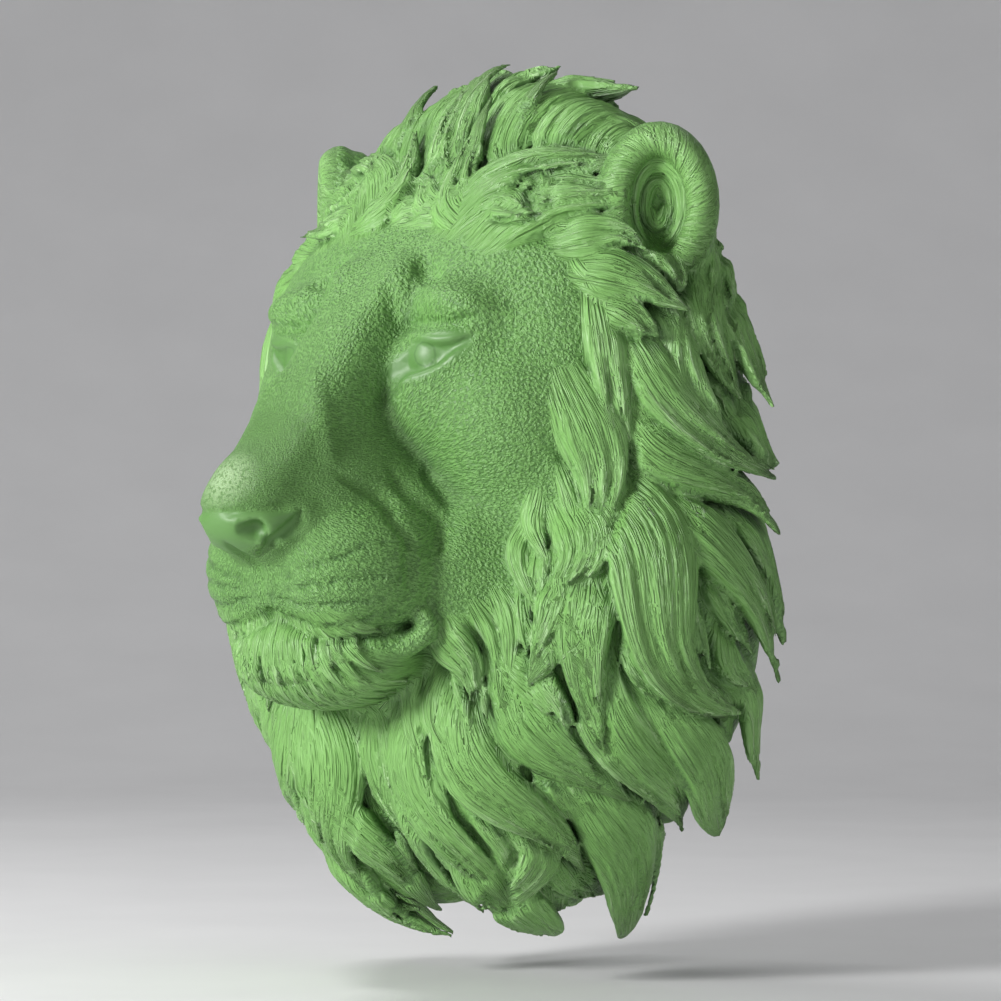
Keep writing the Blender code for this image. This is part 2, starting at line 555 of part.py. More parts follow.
def rows_of_locks(guide, dice):
    """Locks in rows all round the head, the outermost first: each row covers the roots of the one before it."""
    for ahead, length, width, spacing in ROWS:
        clock = -90 + dice.uniform(0, spacing)
        while clock < 270:
            reach = face_edge(clock) + ahead + dice.uniform(-2, 2)
            if reach < 88:
                radians = math.radians(clock)
                start = (reach * math.cos(radians), reach * math.sin(radians))
                swing = 0.45 * math.sin(0.11 * abs(start[0]) + 0.13 * start[1]) + dice.uniform(-0.2, 0.2)
                swing = math.copysign(swing, swing * start[0]) if start[0] else swing
                path = flowing(start, length * dice.uniform(0.8, 1.2), swing, guide)
                yield path, width * dice.uniform(0.8, 1.2), dice.uniform(-1, 2)
            clock += spacing * dice.uniform(0.8, 1.2) * 60 / max(reach, 40)


def mirrored(lock, dice):
    """The same lock on the other side of the head, a little different, as hand carving is, and shorter below."""
    a, b, to_a, to_b, width, bow, curl, flick = lock
    turn = dice.uniform(-2.5, 2.5, 4)
    up = to_b + turn[3] + (5 if to_b < -60 else 0)
    return (-a + turn[0], b + turn[1], -to_a + turn[2], up, width, -bow + 0.02 * turn[0], -curl, flick)


def sculpt_mane(clay, fine):
    dice = np.random.default_rng(7)
    base = clay.field.copy()
    guide = guides()
    for spots, width, flick in rows_of_locks(guide, dice):
        clay.lay_lock(base, spots, width, flick, fine, dice)
    for lock in LOCKS:
        for version in (mirrored(lock, dice), lock):
            clay.lay_lock(base, lock_spots(version), version[4], version[7], fine, dice)
    clay.field = np.minimum(clay.field, base + DEEPEST)


def mesh_from(clay, name):
    """The clay's zero surface as a mesh object."""
    grid = openvdb.FloatGrid(FAR)
    limit = 3 * clay.cell
    grid.copyFromArray(np.clip(clay.field, -limit, limit))
    points, quads = grid.convertToQuads(0.0)
    mesh = bpy.data.meshes.new(name)
    mesh.from_pydata(points * clay.cell + clay.low, [], quads)
    body = bmesh.new()
    body.from_mesh(mesh)
    keep_largest(body)
    body.to_mesh(mesh)
    body.free()
    return bpy.data.objects.new(name, mesh)


def sculpt(cell):
    clay = Clay(cell)
    sculpt_masses(clay)
    sculpt_mane(clay, fine=cell < 0.0025)
    sculpt_muzzle(clay)
    sculpt_beard(clay, fine=cell < 0.0025)
    sculpt_brows(clay)
    sculpt_eyes(clay)
    sculpt_ear(clay, fine=cell < 0.0025)
    return clay


def keep_largest(body):
    """Deletes every piece of the mesh but the one with the most vertices."""
    waiting = set(body.verts)
    pieces = []
    while waiting:
        piece = {waiting.pop()}
        front = list(piece)
        while front:
            vert = front.pop()
            found = {edge.other_vert(vert) for edge in vert.link_edges} & waiting
            waiting -= found
            piece |= found
            front.extend(found)
        pieces.append(piece)
    pieces.sort(key=len)
    loose = [vert for piece in pieces[:-1] for vert in piece]
    bmesh.ops.delete(body, geom=loose, context="VERTS")


def thin(head, triangles):
    """Collapses edges until the head has about this many triangles."""
    thinner = head.modifiers.new("thin", "DECIMATE")
    thinner.ratio = triangles / (2 * len(head.data.polygons))
    thinner.use_collapse_triangulate = True
    bpy.context.view_layer.update()
    thinned = head.evaluated_get(bpy.context.evaluated_depsgraph_get())
    head.data = bpy.data.meshes.new_from_object(thinned)
    head.modifiers.clear()


def cut_flat(head):
    """Cuts off what is behind the wall plane, and closes the back with one flat face."""
    body = bmesh.new()
    body.from_mesh(head.data)
    everything = body.verts[:] + body.edges[:] + body.faces[:]
    bmesh.ops.bisect_plane(body, geom=everything, plane_co=(0, 0, 0), plane_no=(0, 1, 0), clear_outer=True)
    keep_largest(body)
    bmesh.ops.holes_fill(body, edges=[edge for edge in body.edges if edge.is_boundary])
    bmesh.ops.triangulate(body, faces=body.faces[:])
    body.to_mesh(head.data)
    body.free()


def prism(half_width, low, high, front, back):
    """A round-ended upright slot as a solid, from front to back (distances from the wall)."""
    ring = []
    for k in range(24):
        angle = 2 * math.pi * (k + 0.5) / 24
        ring.append((half_width * math.cos(angle),
                     half_width * math.sin(angle) + (high if k < 12 else low)))
    corners = [(x, -front, z) for x, z in ring] + [(x, -back, z) for x, z in ring]
    sides = [(k, (k + 1) % 24, 24 + (k + 1) % 24, 24 + k) for k in range(24)]
    mesh = bpy.data.meshes.new("cutter")
    mesh.from_pydata(corners, [], sides + [tuple(range(23, -1, -1)), tuple(range(24, 48))])
    mesh.validate()
    body = bmesh.new()
    body.from_mesh(mesh)
    bmesh.ops.recalc_face_normals(body, faces=body.faces[:])
    body.to_mesh(mesh)
    body.free()
    return bpy.data.objects.new("cutter", mesh)


def cut_keyhole(head):
    """Cuts the keyhole in the back: the screw head goes in at the hole, and the head slides down over it."""
    low, high = KEYHOLE_UP, KEYHOLE_UP + KEYHOLE_RUN
    cutters = (
        prism(KEYHOLE_HEAD, low, low, KEYHOLE_DEPTH, -0.005),
        prism(KEYHOLE_HEAD, low, high, KEYHOLE_DEPTH, KEYHOLE_LIP),
        prism(KEYHOLE_NECK, low, high, KEYHOLE_LIP + 0.002, -0.005),
    )
    for cutter in cutters:
        bpy.context.scene.collection.objects.link(cutter)
        cut = head.modifiers.new("cut", "BOOLEAN")
        cut.object = cutter
        cut.operation = "DIFFERENCE"
        cut.solver = "EXACT"
        bpy.context.view_layer.update()
        done = head.evaluated_get(bpy.context.evaluated_depsgraph_get())
        head.data = bpy.data.meshes.new_from_object(done)
        head.modifiers.clear()
        bpy.data.objects.remove(cutter)
    body = bmesh.new()
    body.from_mesh(head.data)
    bmesh.ops.triangulate(body, faces=body.faces[:])
    body.to_mesh(head.data)
    body.free()


def paint(head):
    resin = bpy.data.materials.new("resin")
    resin.use_nodes = True
    shader = resin.node_tree.nodes["Principled BSDF"]
    shader.inputs["Base Color"].default_value = GREEN
    shader.inputs["Roughness"].default_value = ROUGHNESS
    head.data.materials.clear()
    head.data.materials.append(resin)


def main():
    for old in list(bpy.data.objects):
        bpy.data.objects.remove(old)
    head = mesh_from(sculpt(CELL), "lion_head_mask")
    bpy.context.scene.collection.objects.link(head)
    thin(head, TRIANGLES)
    cut_flat(head)
    cut_keyhole(head)
    paint(head)


if __name__ == "__main__":
    main()
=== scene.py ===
import math

import bmesh
import bpy
import numpy as np
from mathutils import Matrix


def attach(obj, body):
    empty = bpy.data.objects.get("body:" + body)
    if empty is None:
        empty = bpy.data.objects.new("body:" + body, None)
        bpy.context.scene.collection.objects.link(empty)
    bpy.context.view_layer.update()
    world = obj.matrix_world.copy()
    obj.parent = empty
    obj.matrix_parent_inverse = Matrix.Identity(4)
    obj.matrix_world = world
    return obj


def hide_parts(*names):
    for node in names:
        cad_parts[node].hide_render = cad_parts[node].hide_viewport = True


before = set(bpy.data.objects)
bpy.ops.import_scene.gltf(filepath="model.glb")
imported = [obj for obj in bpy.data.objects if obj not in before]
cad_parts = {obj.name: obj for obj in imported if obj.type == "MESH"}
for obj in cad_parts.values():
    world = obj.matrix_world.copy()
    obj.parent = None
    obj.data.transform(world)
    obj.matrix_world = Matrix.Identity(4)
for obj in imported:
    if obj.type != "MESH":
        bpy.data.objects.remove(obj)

import openvdb
from mathutils import Matrix, Vector

# The looks of the lion head wall mask. The head is sculpted again as signed distances on a fine grid,
# from the same named places as the CAD solid, and painted green over the resin. Metres, +Z up, the lion
# looks along -Y, and places on it are (side, front, up): side is towards its left, and front is the
# distance from the wall.

CELL = 0.00135  # the grid that the head is sculpted on
TRIANGLES = 196000
FAR = 0.02  # no distance is stored beyond this
LOW_CORNER = (-0.180, -0.228, -0.222)
HIGH_CORNER = (0.180, 0.012, 0.222)

ROOT_RISE = -0.007  # a lock starts this far above the surface, and its tip ends TIP_RISE above it
TIP_RISE = 0.006
LOCK_BLEND = 0.0015
GROOVE = 0.0022  # how deep the surface is pressed in beside a lock, over MOAT
MOAT = 0.005
DEEPEST = 0.003  # hollows between locks go no further than this into the volumes under them

GREEN = (0.210, 0.440, 0.118)
GREEN_DEEP = (0.165, 0.360, 0.090)
GREEN_FUR = (0.150, 0.330, 0.084)
# Darker green of the bare skin, and painted shade in the low places of the fur.
GREEN_BARE_AND_PIT_SHADE = (0.060, 0.155, 0.036)
# Painted shade: the dark green mixed into hollows, into the whisker-row dents and round the iris.
GREEN_PAINTED_SHADE = (0.040, 0.110, 0.026)
# Pale green: the painted highlight on the nose top, and the paler edges.
GREEN_PALE = (0.520, 0.740, 0.400)
FLOOR = (0.78, 0.78, 0.78)
FLOOR_UP = -0.225
FLOOR_RUN = 1.3  # how far behind the head the floor starts to curve up, and how gently
FLOOR_CURVE = 1.8
WORLD = (0.55, 0.55, 0.57)
WORLD_STRENGTH = 0.42

STRAND_PITCH = 0.0020  # how far apart the fine strands on a lock are
STRAND_RUN = 0.030
OFF_LOCK = 0.0022  # a face further than this from every lock is fur or skin
FUR_DEPTH = 0.0008  # how deep the paint's relief is
BEARD_DEPTH = 0.0012
STRAND_DEPTH = 0.0018
REACHES = ((0.003, 0.35), (0.007, 0.35), (0.014, 0.30))  # how far off hollows and edges are felt, and shares
ON_BACK = 1e-5  # a vertex nearer the wall than this is on the flat back

NOSE_END_FRONT = 0.1855  # the bare end of the nose starts this far out
NOSE_END_TOP = -0.0040
NOSE_END_FOOT = -0.026
NOSE_END_HALF = 0.0275
LIDS = (0.0450, 0.0650)  # the middle of the bare lids, (side, up), their half size and their slant
LIDS_HALF = (0.0215, 0.0100)
LIDS_SLANT = 0.35
IRIS = (0.0445, 0.1266, 0.0660)
WHISKER_ROWS = (
    ((0.0101, -0.0362), (0.0318, -0.0302), (0.0432, -0.0252), (0.0515, -0.0191)),
    ((0.0067, -0.0400), (0.0287, -0.0382), (0.0432, -0.0359), (0.0518, -0.0346), (0.0560, -0.0338)),
    ((0.0050, -0.0430), (0.0134, -0.0447), (0.0265, -0.0471), (0.0394, -0.0466), (0.0526, -0.0436)),
    ((0.0060, -0.0505), (0.0153, -0.0537), (0.0289, -0.0562), (0.0391, -0.0552), (0.0510, -0.0499)),
)
# Where the painted highlight on the top of the nose is centred.
NOSE_TOP = (0.000, 0.2050, 0.0080)

CAMERA_TURN = 44
CAMERA_FAR = 2.2
CAMERA_SHIFT = 0.0215
CAMERA_LENS = 165.8
LAMPS = (
    ("key", (-1.55, 1.15, 0.50), 45, 0.45),
    ("top", (-0.8, -0.3, 1.5), 11, 0.4),
    ("fill", (1.8, 1.2, 0.1), 9, 1.5),
)


# The keyhole in the back that hangs the casting on a screw.
KEYHOLE_UP = 0.105
KEYHOLE_RUN = 0.016
KEYHOLE_HEAD = 0.0065
KEYHOLE_NECK = 0.0028
KEYHOLE_LIP = 0.004
KEYHOLE_DEPTH = 0.012

# Volumes of the mane under its locks: centre, radii and how softly each runs into the last.
MANE_MASSES = (
    ((0.000, 0.018, 0.115), (0.100, 0.054, 0.082), 0.026),
    ((0.054, 0.015, 0.040), (0.069, 0.064, 0.092), 0.026),
    ((0.066, 0.032, -0.052), (0.076, 0.076, 0.093), 0.026),
    ((0.036, 0.040, -0.102), (0.052, 0.084, 0.084), 0.024),
)

EYE = (0.0398, 0.1120, 0.0652)
EYE_RADIUS = 0.0155
EYE_TURN = 38
EAR = (0.103, 0.034, 0.135)
EAR_TURN = 41
# Curls of hair in the ear: how wide and tall an arc, where it starts and stops, how far out, its half width
# and ridges.
EAR_HAIR = (
    (0.0118, 0.0190, -70, 235, 0.0010, 0.0042, 3),
    (0.0066, 0.0115, -40, 250, -0.0030, 0.0036, 2),
    (0.0030, 0.0080, -150, -20, -0.0030, 0.0046, 3),
)

RIDGE_WIDTH = 6.5  # millimetres
RIDGE_HEIGHT = 0.0014
SPLITS = 3  # thinner locks that split from a wide one
TAPER = 2.6

# Locks of the lion's left side: across and up on the map at the root and at the tip, width in
# millimetres, bow and curl as shares of the length, and how much more than TIP_RISE the tip lifts, in
# millimetres. Later ones lie on top.
LOCKS = (
    (69, 53, 82, 29, 27, 0.04, 0.00, 14),
    (77, 31, 87, -1, 27, 0.10, 0.03, 33),
    (79, 5, 77, -41, 33, 0.17, 0.02, 12),
    (74, -41, 62, -62, 21, 0.08, 0.02, 21),
    (56, -37, 48, -76, 38, 0.13, 0.01, 26),
    (43, -54, 25, -84, 21, 0.18, 0.01, 21),
    (38, -50, 20, -85, 44, 0.17, 0.02, 24),
    (16, -57, 12, -83, 42, 0.07, -0.02, 16),
    (-23, -45, -12, -72, 31, -0.42, -0.09, 4),
    (-30, -29, -36, -51, 27, -0.24, 0.01, 4),
    (-12, -38, -10, -74, 35, 0.09, -0.06, 4),
    (10, -35, 5, -67, 29, -0.25, -0.06, 0),
    (14, -35, 16, -68, 34, -0.07, -0.08, 0),
    (22, -35, 29, -67, 34, 0.02, -0.06, 0),
    (32, -34, 44, -57, 39, -0.03, -0.04, 0),
    (48, -29, 45, -73, 33, 0.06, -0.05, 6),
    (64, 5, 76, -42, 35, 0.14, -0.02, 9),
    (58, 23, 86, -10, 38, 0.05, -0.07, 10),
    (61, 49, 87, 5, 21, -0.08, -0.02, 18),
    (61, 58, 79, 28, 30, -0.06, -0.01, 3),
    (49, 57, 59, 44, 26, 0.07, -0.03, 3),
    (53, 6, 67, -47, 52, 0.01, 0.07, 0),
    (52, 39, 87, 6, 29, -0.04, -0.01, 13),
    (45, 43, 60, 4, 22, 0.03, 0.00, 0),
    (44, 26, 51, -12, 34, 0.16, -0.01, 0),
    (47, 0, 42, -21, 31, 0.24, 0.02, 0),
    (48, -14, 37, -33, 38, 0.08, 0.01, 0),
    (53, -14, 45, -44, 31, -0.08, -0.01, 0),
    (22, -22, 25, -36, 25, 0.11, -0.05, 0),
    (-5, 59, -24, 71, 24, 0.08, -0.02, 5),
    (3, 59, -15, 78, 34, 0.28, 0.01, 4),
    (13, 58, 0, 82, 34, 0.32, -0.01, 4),
    (3, 79, 10, 85, 24, 0.42, 0.12, 6),
    (8, 84, 27, 82, 30, 0.10, 0.00, 9),
    (16, 85, 28, 64, 40, -0.42, 0.03, -4),
    (29, 83, 38, 64, 38, -0.45, 0.04, -4),
    (36, 80, 42, 66, 28, -0.45, 0.04, -3),
    (17, 53, 8, 73, 28, 0.22, 0.02, 6),
    (6, 57, -2, 65, 20, 0.15, 0.01, 3),
    (11, 52, 37, 67, 46, 0.16, 0.02, 6),
    (20, 49, 45, 61, 42, 0.16, 0.02, 7),
    (34, 51, 50, 50, 32, 0.18, -0.04, 6),
    (40, 46, 60, 42, 32, 0.06, -0.00, 6),
    (47, 40, 59, 35, 22, 0.06, 0.01, 4),
    (-16, 62, -30, 58, 28, -0.25, -0.08, 4),
    (-15, 55, -30, 51, 28, -0.20, -0.06, 3),
)


# Where the mane begins: clock angle on the map, and degrees from the nose.
FACE_EDGE = ((-90, 37), (-60, 34), (-38, 33), (-10, 41), (8, 45), (24, 55), (44, 66), (66, 62), (90, 59))

# Rows of locks that follow the table's: degrees beyond the face edge, length, width in millimetres and
# spacing.
ROWS = (
    (38, 26, 28, 11),
    (30, 32, 28, 11),
    (21, 36, 26, 10),
    (12, 34, 24, 10),
    (5, 30, 21, 9),
    (-1, 22, 13, 5),
)
LINKS = 20
LAST_REACH = 91


# Volumes of the face: centre, radii, blend, tilt, turn and squareness.
FACE_MASSES = (
    ((0.000, 0.022, 0.060), (0.119, 0.098, 0.085), 0.026, 0, 0, 2.4),
    ((0.054, 0.062, 0.030), (0.041, 0.050, 0.054), 0.020, 0, 0, 2.0),
    ((0.000, 0.123, 0.054), (0.0235, 0.033, 0.066), 0.009, 38, 0, 3.2),
    ((0.000, 0.162, 0.012), (0.0245, 0.029, 0.046), 0.009, 38, 0, 3.2),
    ((0.000, 0.122, -0.012), (0.040, 0.048, 0.040), 0.016, 30, 0, 2.4),
    ((0.000, 0.095, -0.050), (0.050, 0.052, 0.042), 0.014, 0, 0, 2.2),
    ((0.052, 0.092, -0.040), (0.022, 0.040, 0.042), 0.012, 0, 0, 2.0),
)


def sides_of(centre):
    """A place off the middle is made on both sides of the head."""
    return (1,) if centre[0] == 0 else (1, -1)


def smooth_min(first, second, blend):
    gap = np.maximum(blend - np.abs(first - second), 0) / blend
    return np.minimum(first, second) - gap * gap * blend / 4


def curve_through(marks, steps=5):
    """Places along a smooth curve through the marks."""
    marks = np.array(marks, float)
    ends = np.vstack([2 * marks[0] - marks[1], marks, 2 * marks[-1] - marks[-2]])
    places = []
    for a, b, c, d in zip(ends, ends[1:], ends[2:], ends[3:]):
        for t in np.arange(steps) / steps:
            bend = (a - 2.5 * b + 2 * c - d / 2) * t**2 + (1.5 * (b - c) + (d - a) / 2) * t**3
            places.append(tuple(b + (c - a) * t / 2 + bend))
    return places + [tuple(marks[-1])]


def sideways(path, lie):
    """The direction across a path at each of its points."""
    side = np.cross(lie, np.gradient(path, axis=0))
    return side / np.maximum(np.linalg.norm(side, axis=1, keepdims=True), 1e-9)


class Clay:
    """A block of clay: signed distances on a grid, negative inside. Places in it are (side, front, up)."""

    def __init__(self, cell):
        self.cell = cell
        self.low = np.array(LOW_CORNER)
        counts = np.ceil((np.array(HIGH_CORNER) - self.low) / cell).astype(int) + 1
        self.field = np.full(counts, FAR, np.float32)
        self.laid = []

    def window(self, low, high):
        """The slices that hold the box from low to high, and the coordinates along each axis."""
        counts = np.array(self.field.shape)
        first = np.clip(np.floor((np.array(low) - self.low) / self.cell).astype(int), 0, counts)
        last = np.clip(np.ceil((np.array(high) - self.low) / self.cell).astype(int) + 1, 0, counts)
        slices = tuple(slice(a, b) for a, b in zip(first, last))
        axes = [self.low[i] + self.cell * np.arange(first[i], last[i]) for i in range(3)]
        return slices, np.meshgrid(*[a.astype(np.float32) for a in axes], indexing="ij", sparse=True)

    def ellipsoid(self, centre, radii, blend, tilt=0.0, turn=0.0, square=2.0, carve=False):
        """Adds or carves an ellipsoid, boxier as square grows. Tilt leans its top back, turn its front in."""
        for side in sides_of(centre):
            middle = np.array((side * centre[0], -centre[1], centre[2]))
            spin = (Matrix.Rotation(math.radians(-side * turn), 3, "Z")
                    @ Matrix.Rotation(math.radians(-tilt), 3, "X"))
            spin = np.array(spin)
            reach = np.sqrt((spin * np.array(radii)) ** 2 @ np.ones(3)) + blend + 2 * self.cell
            slices, points = self.window(middle - reach, middle + reach)
            local = [abs(sum(spin[j, i] * (points[j] - middle[j]) for j in range(3))) / radii[i]
                     for i in range(3)]
            near = sum(v**square for v in local) ** (1 / square) + 1e-6
            steep = np.sqrt(sum(((v / near) ** (square - 1) / r) ** 2 for v, r in zip(local, radii)))
            self.merge(slices, ((near - 1) / steep).astype(np.float32), blend, carve)

    def merge(self, slices, distance, blend, carve=False):
        if carve:
            self.field[slices] = -smooth_min(-self.field[slices], distance, blend)
        else:
            self.field[slices] = smooth_min(self.field[slices], distance, blend)

    def chain_distance(self, path, radii, reach):
        """(slices, distance to a chain of round tapered links) within reach of it."""
        path = np.array(path)
        slices, points = self.window(path.min(0) - reach, path.max(0) + reach)
        nearest = None
        for a, b, ra, rb in zip(path[:-1], path[1:], radii[:-1], radii[1:]):
            along = b - a
            length = max(float(along @ along), 1e-12)
            t = np.clip(sum((points[i] - a[i]) * along[i] for i in range(3)) / length, 0, 1)
            off = [points[i] - a[i] - t * along[i] for i in range(3)]
            distance = np.sqrt(sum(v * v for v in off)) - (ra + (rb - ra) * t)
            nearest = distance if nearest is None else np.minimum(nearest, distance)
        return slices, nearest.astype(np.float32)

    def limb(self, places, radii, blend, carve=False):
        """Adds a chain of round tapered links through the places, or carves it out."""
        for side in sides_of(max(places, key=lambda p: abs(p[0]))):
            path = [(side * s, -f, u) for s, f, u in places]
            slices, distance = self.chain_distance(path, radii, max(radii) + blend + 2 * self.cell)
            self.merge(slices, distance, blend, carve)

    def stroke(self, places, width, height):
        """Raises the surface by height in a soft band along places, or presses it in if height is negative.
        The band fades away at both ends."""
        for side in sides_of(max(places, key=lambda p: abs(p[0]))):
            path = [(side * s, -f, u) for s, f, u in places]
            t = np.linspace(0, 1, len(path))
            short = -width * np.clip(1 - 4 * np.minimum(t, 1 - t), 0, 1)
            slices, distance = self.chain_distance(path, short, width)
            band = np.clip(1 - (distance / width) ** 2, 0, 1) ** 2
            self.field[slices] -= (height * band).astype(np.float32)

    def settle(self, marks):
        """Drops marks (side, up) onto the front of the clay. Returns (side, front, up) for each."""
        fronts = np.arange(0.230, 0.020, -0.001)
        places = []
        for side, up in marks:
            line = np.stack([np.full(len(fronts), side), -fronts, np.full(len(fronts), up)], axis=1)
            value = self.sample(self.field, line)
            first = max(int(np.argmax(value < 0)), 1)
            back = 0.001 * value[first] / min(value[first] - value[first - 1], -1e-6)
            places.append((side, fronts[first] + back, up))
        return places

    def sample(self, field, points):
        """The field at each point, blended from the eight cells around it."""
        place = (points - self.low) / self.cell
        first = np.clip(np.floor(place).astype(int), 0, np.array(field.shape) - 2)
        part = np.clip(place - first, 0, 1)
        total = 0
        for corner in np.ndindex(2, 2, 2):
            share = np.prod(np.where(corner, part, 1 - part), axis=-1)
            total = total + share * field[tuple(np.moveaxis(first + corner, -1, 0))]
        return total

    def surface(self, field, spots):
        """The field's surface under each spot of the map, as points."""
        steps = np.arange(0.250, 0.050, -0.002)
        direction = toward(spots)
        value = self.sample(field, direction[:, None, :] * steps[:, None])
        first = np.maximum(np.argmax(value < 0, axis=1), 1)
        row = np.arange(len(spots))
        before, after = value[row, first - 1], value[row, first]
        return direction * (steps[first] + 0.002 * after / np.minimum(after - before, -1e-6))[:, None]

    def slope(self, field, points, step=0.006):
        """The outward direction of the field at each point."""
        rise = [self.sample(field, points + e) - self.sample(field, points - e) for e in np.eye(3) * step]
        rise = np.stack(rise, axis=-1)
        return rise / np.maximum(np.linalg.norm(rise, axis=-1, keepdims=True), 1e-9)

    def lay_lock(self, base, spots, width, flick, fine, dice):
        """Lays one lock of hair over the map's spots. A fine lock is ridged and splits into thinner ones."""
        seat = self.surface(base, spots)
        lie = self.slope(base, seat)
        t = np.linspace(0, 1, len(spots))
        wide = 0.0005 * width * np.clip(0.4 + 1.5 * t, 0, 1) * (1 - t**TAPER)
        wide = np.maximum(wide, 0.65 * self.cell)
        thick = (0.40 * wide + 0.0010) * np.clip(0.25 + 2.0 * t, 0, 1)
        size = min(width / 25, 1)
        rise = size * ROOT_RISE * np.clip(1 - t / 0.45, 0, 1) ** 2 + (size * TIP_RISE + 0.001 * flick) * t**2
        path = seat + lie * (rise - 0.3 * thick)[:, None]
        ridges = max(round(width / RIDGE_WIDTH), 2) if fine else 0
        self.ribbon(path, lie, wide, thick, size * GROOVE, ridges, dice.uniform(0, 6))
        side = sideways(path, lie)
        for k in range(SPLITS):
            start, stop = dice.uniform(0.15, 0.45), dice.uniform(0.78, 0.97)
            place, drift = dice.uniform(-0.65, 0.65), dice.uniform(-0.25, 0.45)
            if not fine or width < 20:
                continue
            cut = (t >= start) & (t <= stop)
            share = (t[cut] - start) / (stop - start)
            shift = place * (1 + drift * share) * wide[cut]
            slim = np.maximum(wide[cut] * 0.34 * np.clip(0.4 + 2 * share, 0, 1) * (1 - share**TAPER),
                              0.65 * self.cell)
            over = np.sqrt(1 - 0.8 * place**2) * thick[cut] - slim * (0.75 - 0.5 * share)
            middle = path[cut] + side[cut] * shift[:, None] + lie[cut] * over[:, None]
            self.ribbon(middle, lie[cut], slim, 0.6 * slim, 0.5 * GROOVE, 2, dice.uniform(0, 6))

    def ribbon(self, path, lie, wide, thick, groove, ridges, phase):
        """Adds a flattened tapering body along a path, with a groove pressed beside it and any ridges."""
        self.laid.append((path, lie, wide, thick, phase))
        slices, u, v, out, rest = self.along_path(path, lie, wide.max() + MOAT)
        t = np.linspace(0, 1, len(path))
        w = np.interp(v, t, wide)
        h = np.interp(v, t, thick)
        near = np.sqrt((u * u + rest) / w**2 + (out / h) ** 2) + 1e-6
        steep = np.sqrt((u * u + rest) / w**4 + out**2 / h**4) / near
        distance = (near - 1) / steep
        if ridges:
            u = u / w + 0.10 * np.sin(5 * v + phase)
            fade = np.clip(2 * w / ridges / self.cell - 1.5, 0, 1)
            distance -= RIDGE_HEIGHT * fade * (np.abs(np.cos(math.pi * (0.5 * ridges * u + phase))) - 0.6)
        groove = groove * np.clip(2.5 * v - 0.4, 0, 1)
        self.field[slices] += groove * np.clip(1 - np.abs(distance) / MOAT, 0, 1)
        self.merge(slices, distance.astype(np.float32), LOCK_BLEND)

    def along_path(self, path, lie, grow):
        """For the box round a path: how far across it, how far along it as a share, how far out along lie
        and the square of what is left, measured from the nearest place on the path."""
        slices, _ = self.window(path.min(0) - grow, path.max(0) + grow)
        corner = np.array([s.start for s in slices])
        nearest = np.full(self.field[slices].shape, 1.0, np.float32)
        across, share, out = np.zeros_like(nearest), np.zeros_like(nearest), np.zeros_like(nearest)
        last = len(path) - 1
        side = sideways(path, lie)
        for i in range(last):
            a, along = path[i], path[i + 1] - path[i]
            inner, points = self.window(np.minimum(a, path[i + 1]) - grow,
                                        np.maximum(a, path[i + 1]) + grow)
            inner = tuple(slice(s.start - c, s.stop - c) for s, c in zip(inner, corner))
            off = [points[k] - a[k] for k in range(3)]
            t = np.clip(sum(off[k] * along[k] for k in range(3)) / max(float(along @ along), 1e-9), 0, 1)
            off = [off[k] - t * along[k] for k in range(3)]
            square = sum(v * v for v in off)
            closer = square < nearest[inner]
            nearest[inner] = np.where(closer, square, nearest[inner])
            share[inner] = np.where(closer, (i + t) / last, share[inner])
            for box, arrow in ((across, side), (out, lie)):
                height = sum(off[k] * (arrow[i, k] + (arrow[i + 1, k] - arrow[i, k]) * t) for k in range(3))
                box[inner] = np.where(closer, height, box[inner])
        return slices, across, share, out, np.maximum(nearest - across**2 - out**2, 0)


def toward(spots):
    """The direction from the core to map spots: (across, up) in degrees from the nose, 90 at the wall."""
    reach = np.radians(np.hypot(spots[..., 0], spots[..., 1]))
    clock = np.arctan2(spots[..., 1], spots[..., 0])
    return np.stack([np.sin(reach) * np.cos(clock), -np.cos(reach), np.sin(reach) * np.sin(clock)], axis=-1)


def sculpt_masses(clay):
    for centre, radii, blend in MANE_MASSES:
        clay.ellipsoid(centre, radii, blend)
    for centre, radii, blend, tilt, turn, square in FACE_MASSES:
        clay.ellipsoid(centre, radii, blend, tilt, turn, square)


